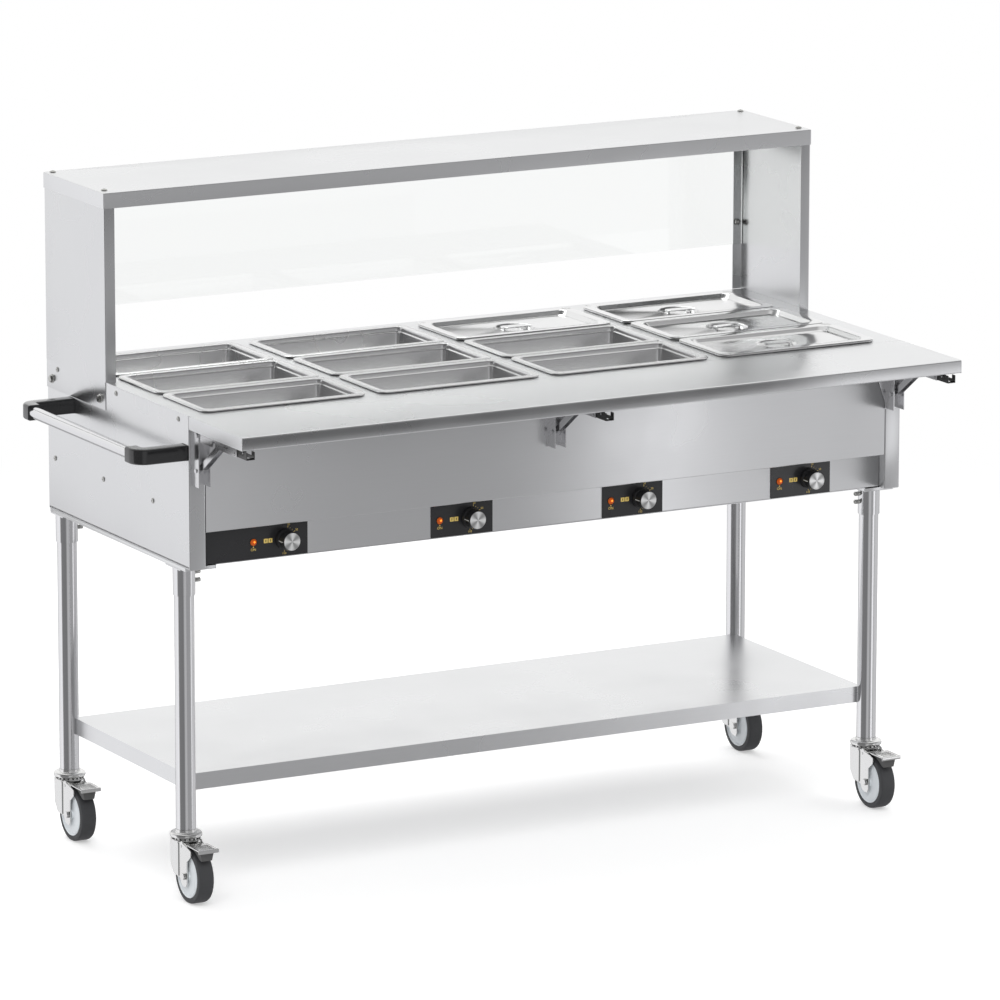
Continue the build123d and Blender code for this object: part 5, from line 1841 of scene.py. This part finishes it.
    def mirror_card(self, name: str, corners: Array, tone: float) -> None:
        """Card that only reflections see.

        Args:
            name: Name of the card.
            corners: Four corners in metres.
            tone: Its brightness.
        """
        card, tree = self.board(name, corners)
        card.visible_camera = False
        card.visible_diffuse = False
        card.visible_shadow = False
        card.visible_transmission = False
        glow = node(tree, "ShaderNodeEmission", Color=(tone, tone, 1.02 * tone, 1.0), Strength=1.0)
        tree.links.new(glow.outputs[0], surface_of(tree))

    def floor(self) -> None:
        """Pale floor that keeps the shadow near the object and fades to white away from it."""
        reach = 40.0
        corners = np.array([(-reach, -reach, 0), (reach, -reach, 0), (reach, reach, 0),
                            (-reach, reach, 0)], float)
        floor, tree = self.board("studio_floor", corners)
        floor.visible_glossy = False
        shader = tree.nodes["paint"].outputs[0]
        path = node(tree, "ShaderNodeLightPath").outputs
        seen = maths(tree, "MAXIMUM", path["Is Camera Ray"], path["Is Transmission Ray"])
        place = node(tree, "ShaderNodeTexCoord").outputs["Object"]
        distance = node(tree, "ShaderNodeVectorMath", place, operation="LENGTH").outputs["Value"]
        lift = node(tree, "ShaderNodeEmission", Color=WHITE, Strength=self.floor_lift)
        white = node(tree, "ShaderNodeEmission", Color=WHITE, Strength=1.0)
        near = node(tree, "ShaderNodeAddShader", shader, lift.outputs[0])
        fade = smooth_step(tree, distance, self.fade)
        faded = node(tree, "ShaderNodeMixShader", fade, near.outputs[0], white.outputs[0])
        mix = node(tree, "ShaderNodeMixShader", seen, shader, faded.outputs[0])
        tree.links.new(mix.outputs[0], surface_of(tree))

    def build(self) -> None:
        """Everything round the object."""
        self.camera()
        self.world()
        self.floor()
        self.area("key_lamp", (-3.5, -4.0, 5.5), (0.0, 0.0, 0.8), (4.0, 4.0), 150.0)
        self.area("fill_lamp", (4.5, -3.0, 4.0), (0.0, 0.0, 0.8), (4.0, 3.0), 50.0)
        self.area("top_lamp", (0.2, 2.4, 4.8), (0.0, 0.0, 0.9), (3.5, 3.5), 105.0)
        pale = np.array([(1.45, -2.1, -0.7), (2.45, -2.1, -0.7), (2.45, -2.1, 0.5), (1.45, -2.1, 0.5)])
        self.mirror_card("pale_card", pale, 1.05)
        dark = np.array([(-0.72, -0.72, 0.76), (0.64, -0.72, 0.76), (0.64, -0.72, 0.91),
                         (-0.72, -0.72, 0.91)])
        self.mirror_card("dark_card", dark, 0.10)
        line = np.array([(-1.03, 1.72, 1.5), (-0.93, 1.72, 1.5), (-0.93, 1.72, 2.2), (-1.03, 1.72, 2.2)])
        self.mirror_card("stripe_card", line, 0.12)


def main() -> None:
    """Builds the looks piece by piece."""
    logging.basicConfig(level=logging.INFO, format="%(name)s: %(message)s")
    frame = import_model()
    scene = bpy.context.scene
    scene.view_settings.view_transform = "Standard"
    shop = Workshop(frame["nodes"], Finishes())
    assemblies: list[tuple[str, Callable[[Workshop], None]]] = [
        ("cabinet", Cabinet().build), ("controls", Controls().build), ("overshelf", Overshelf().build),
        ("front shelf", FrontShelf().build), ("handle", Handle().build), ("legs", Legs().build),
        ("fasteners", Fasteners().build), ("casters", Casters().build), ("pans", Pans().build),
        ("services", Services().build),
    ]
    for name, build in assemblies:
        build(shop)
    Studio().build()


if __name__ == "__main__":
    main()
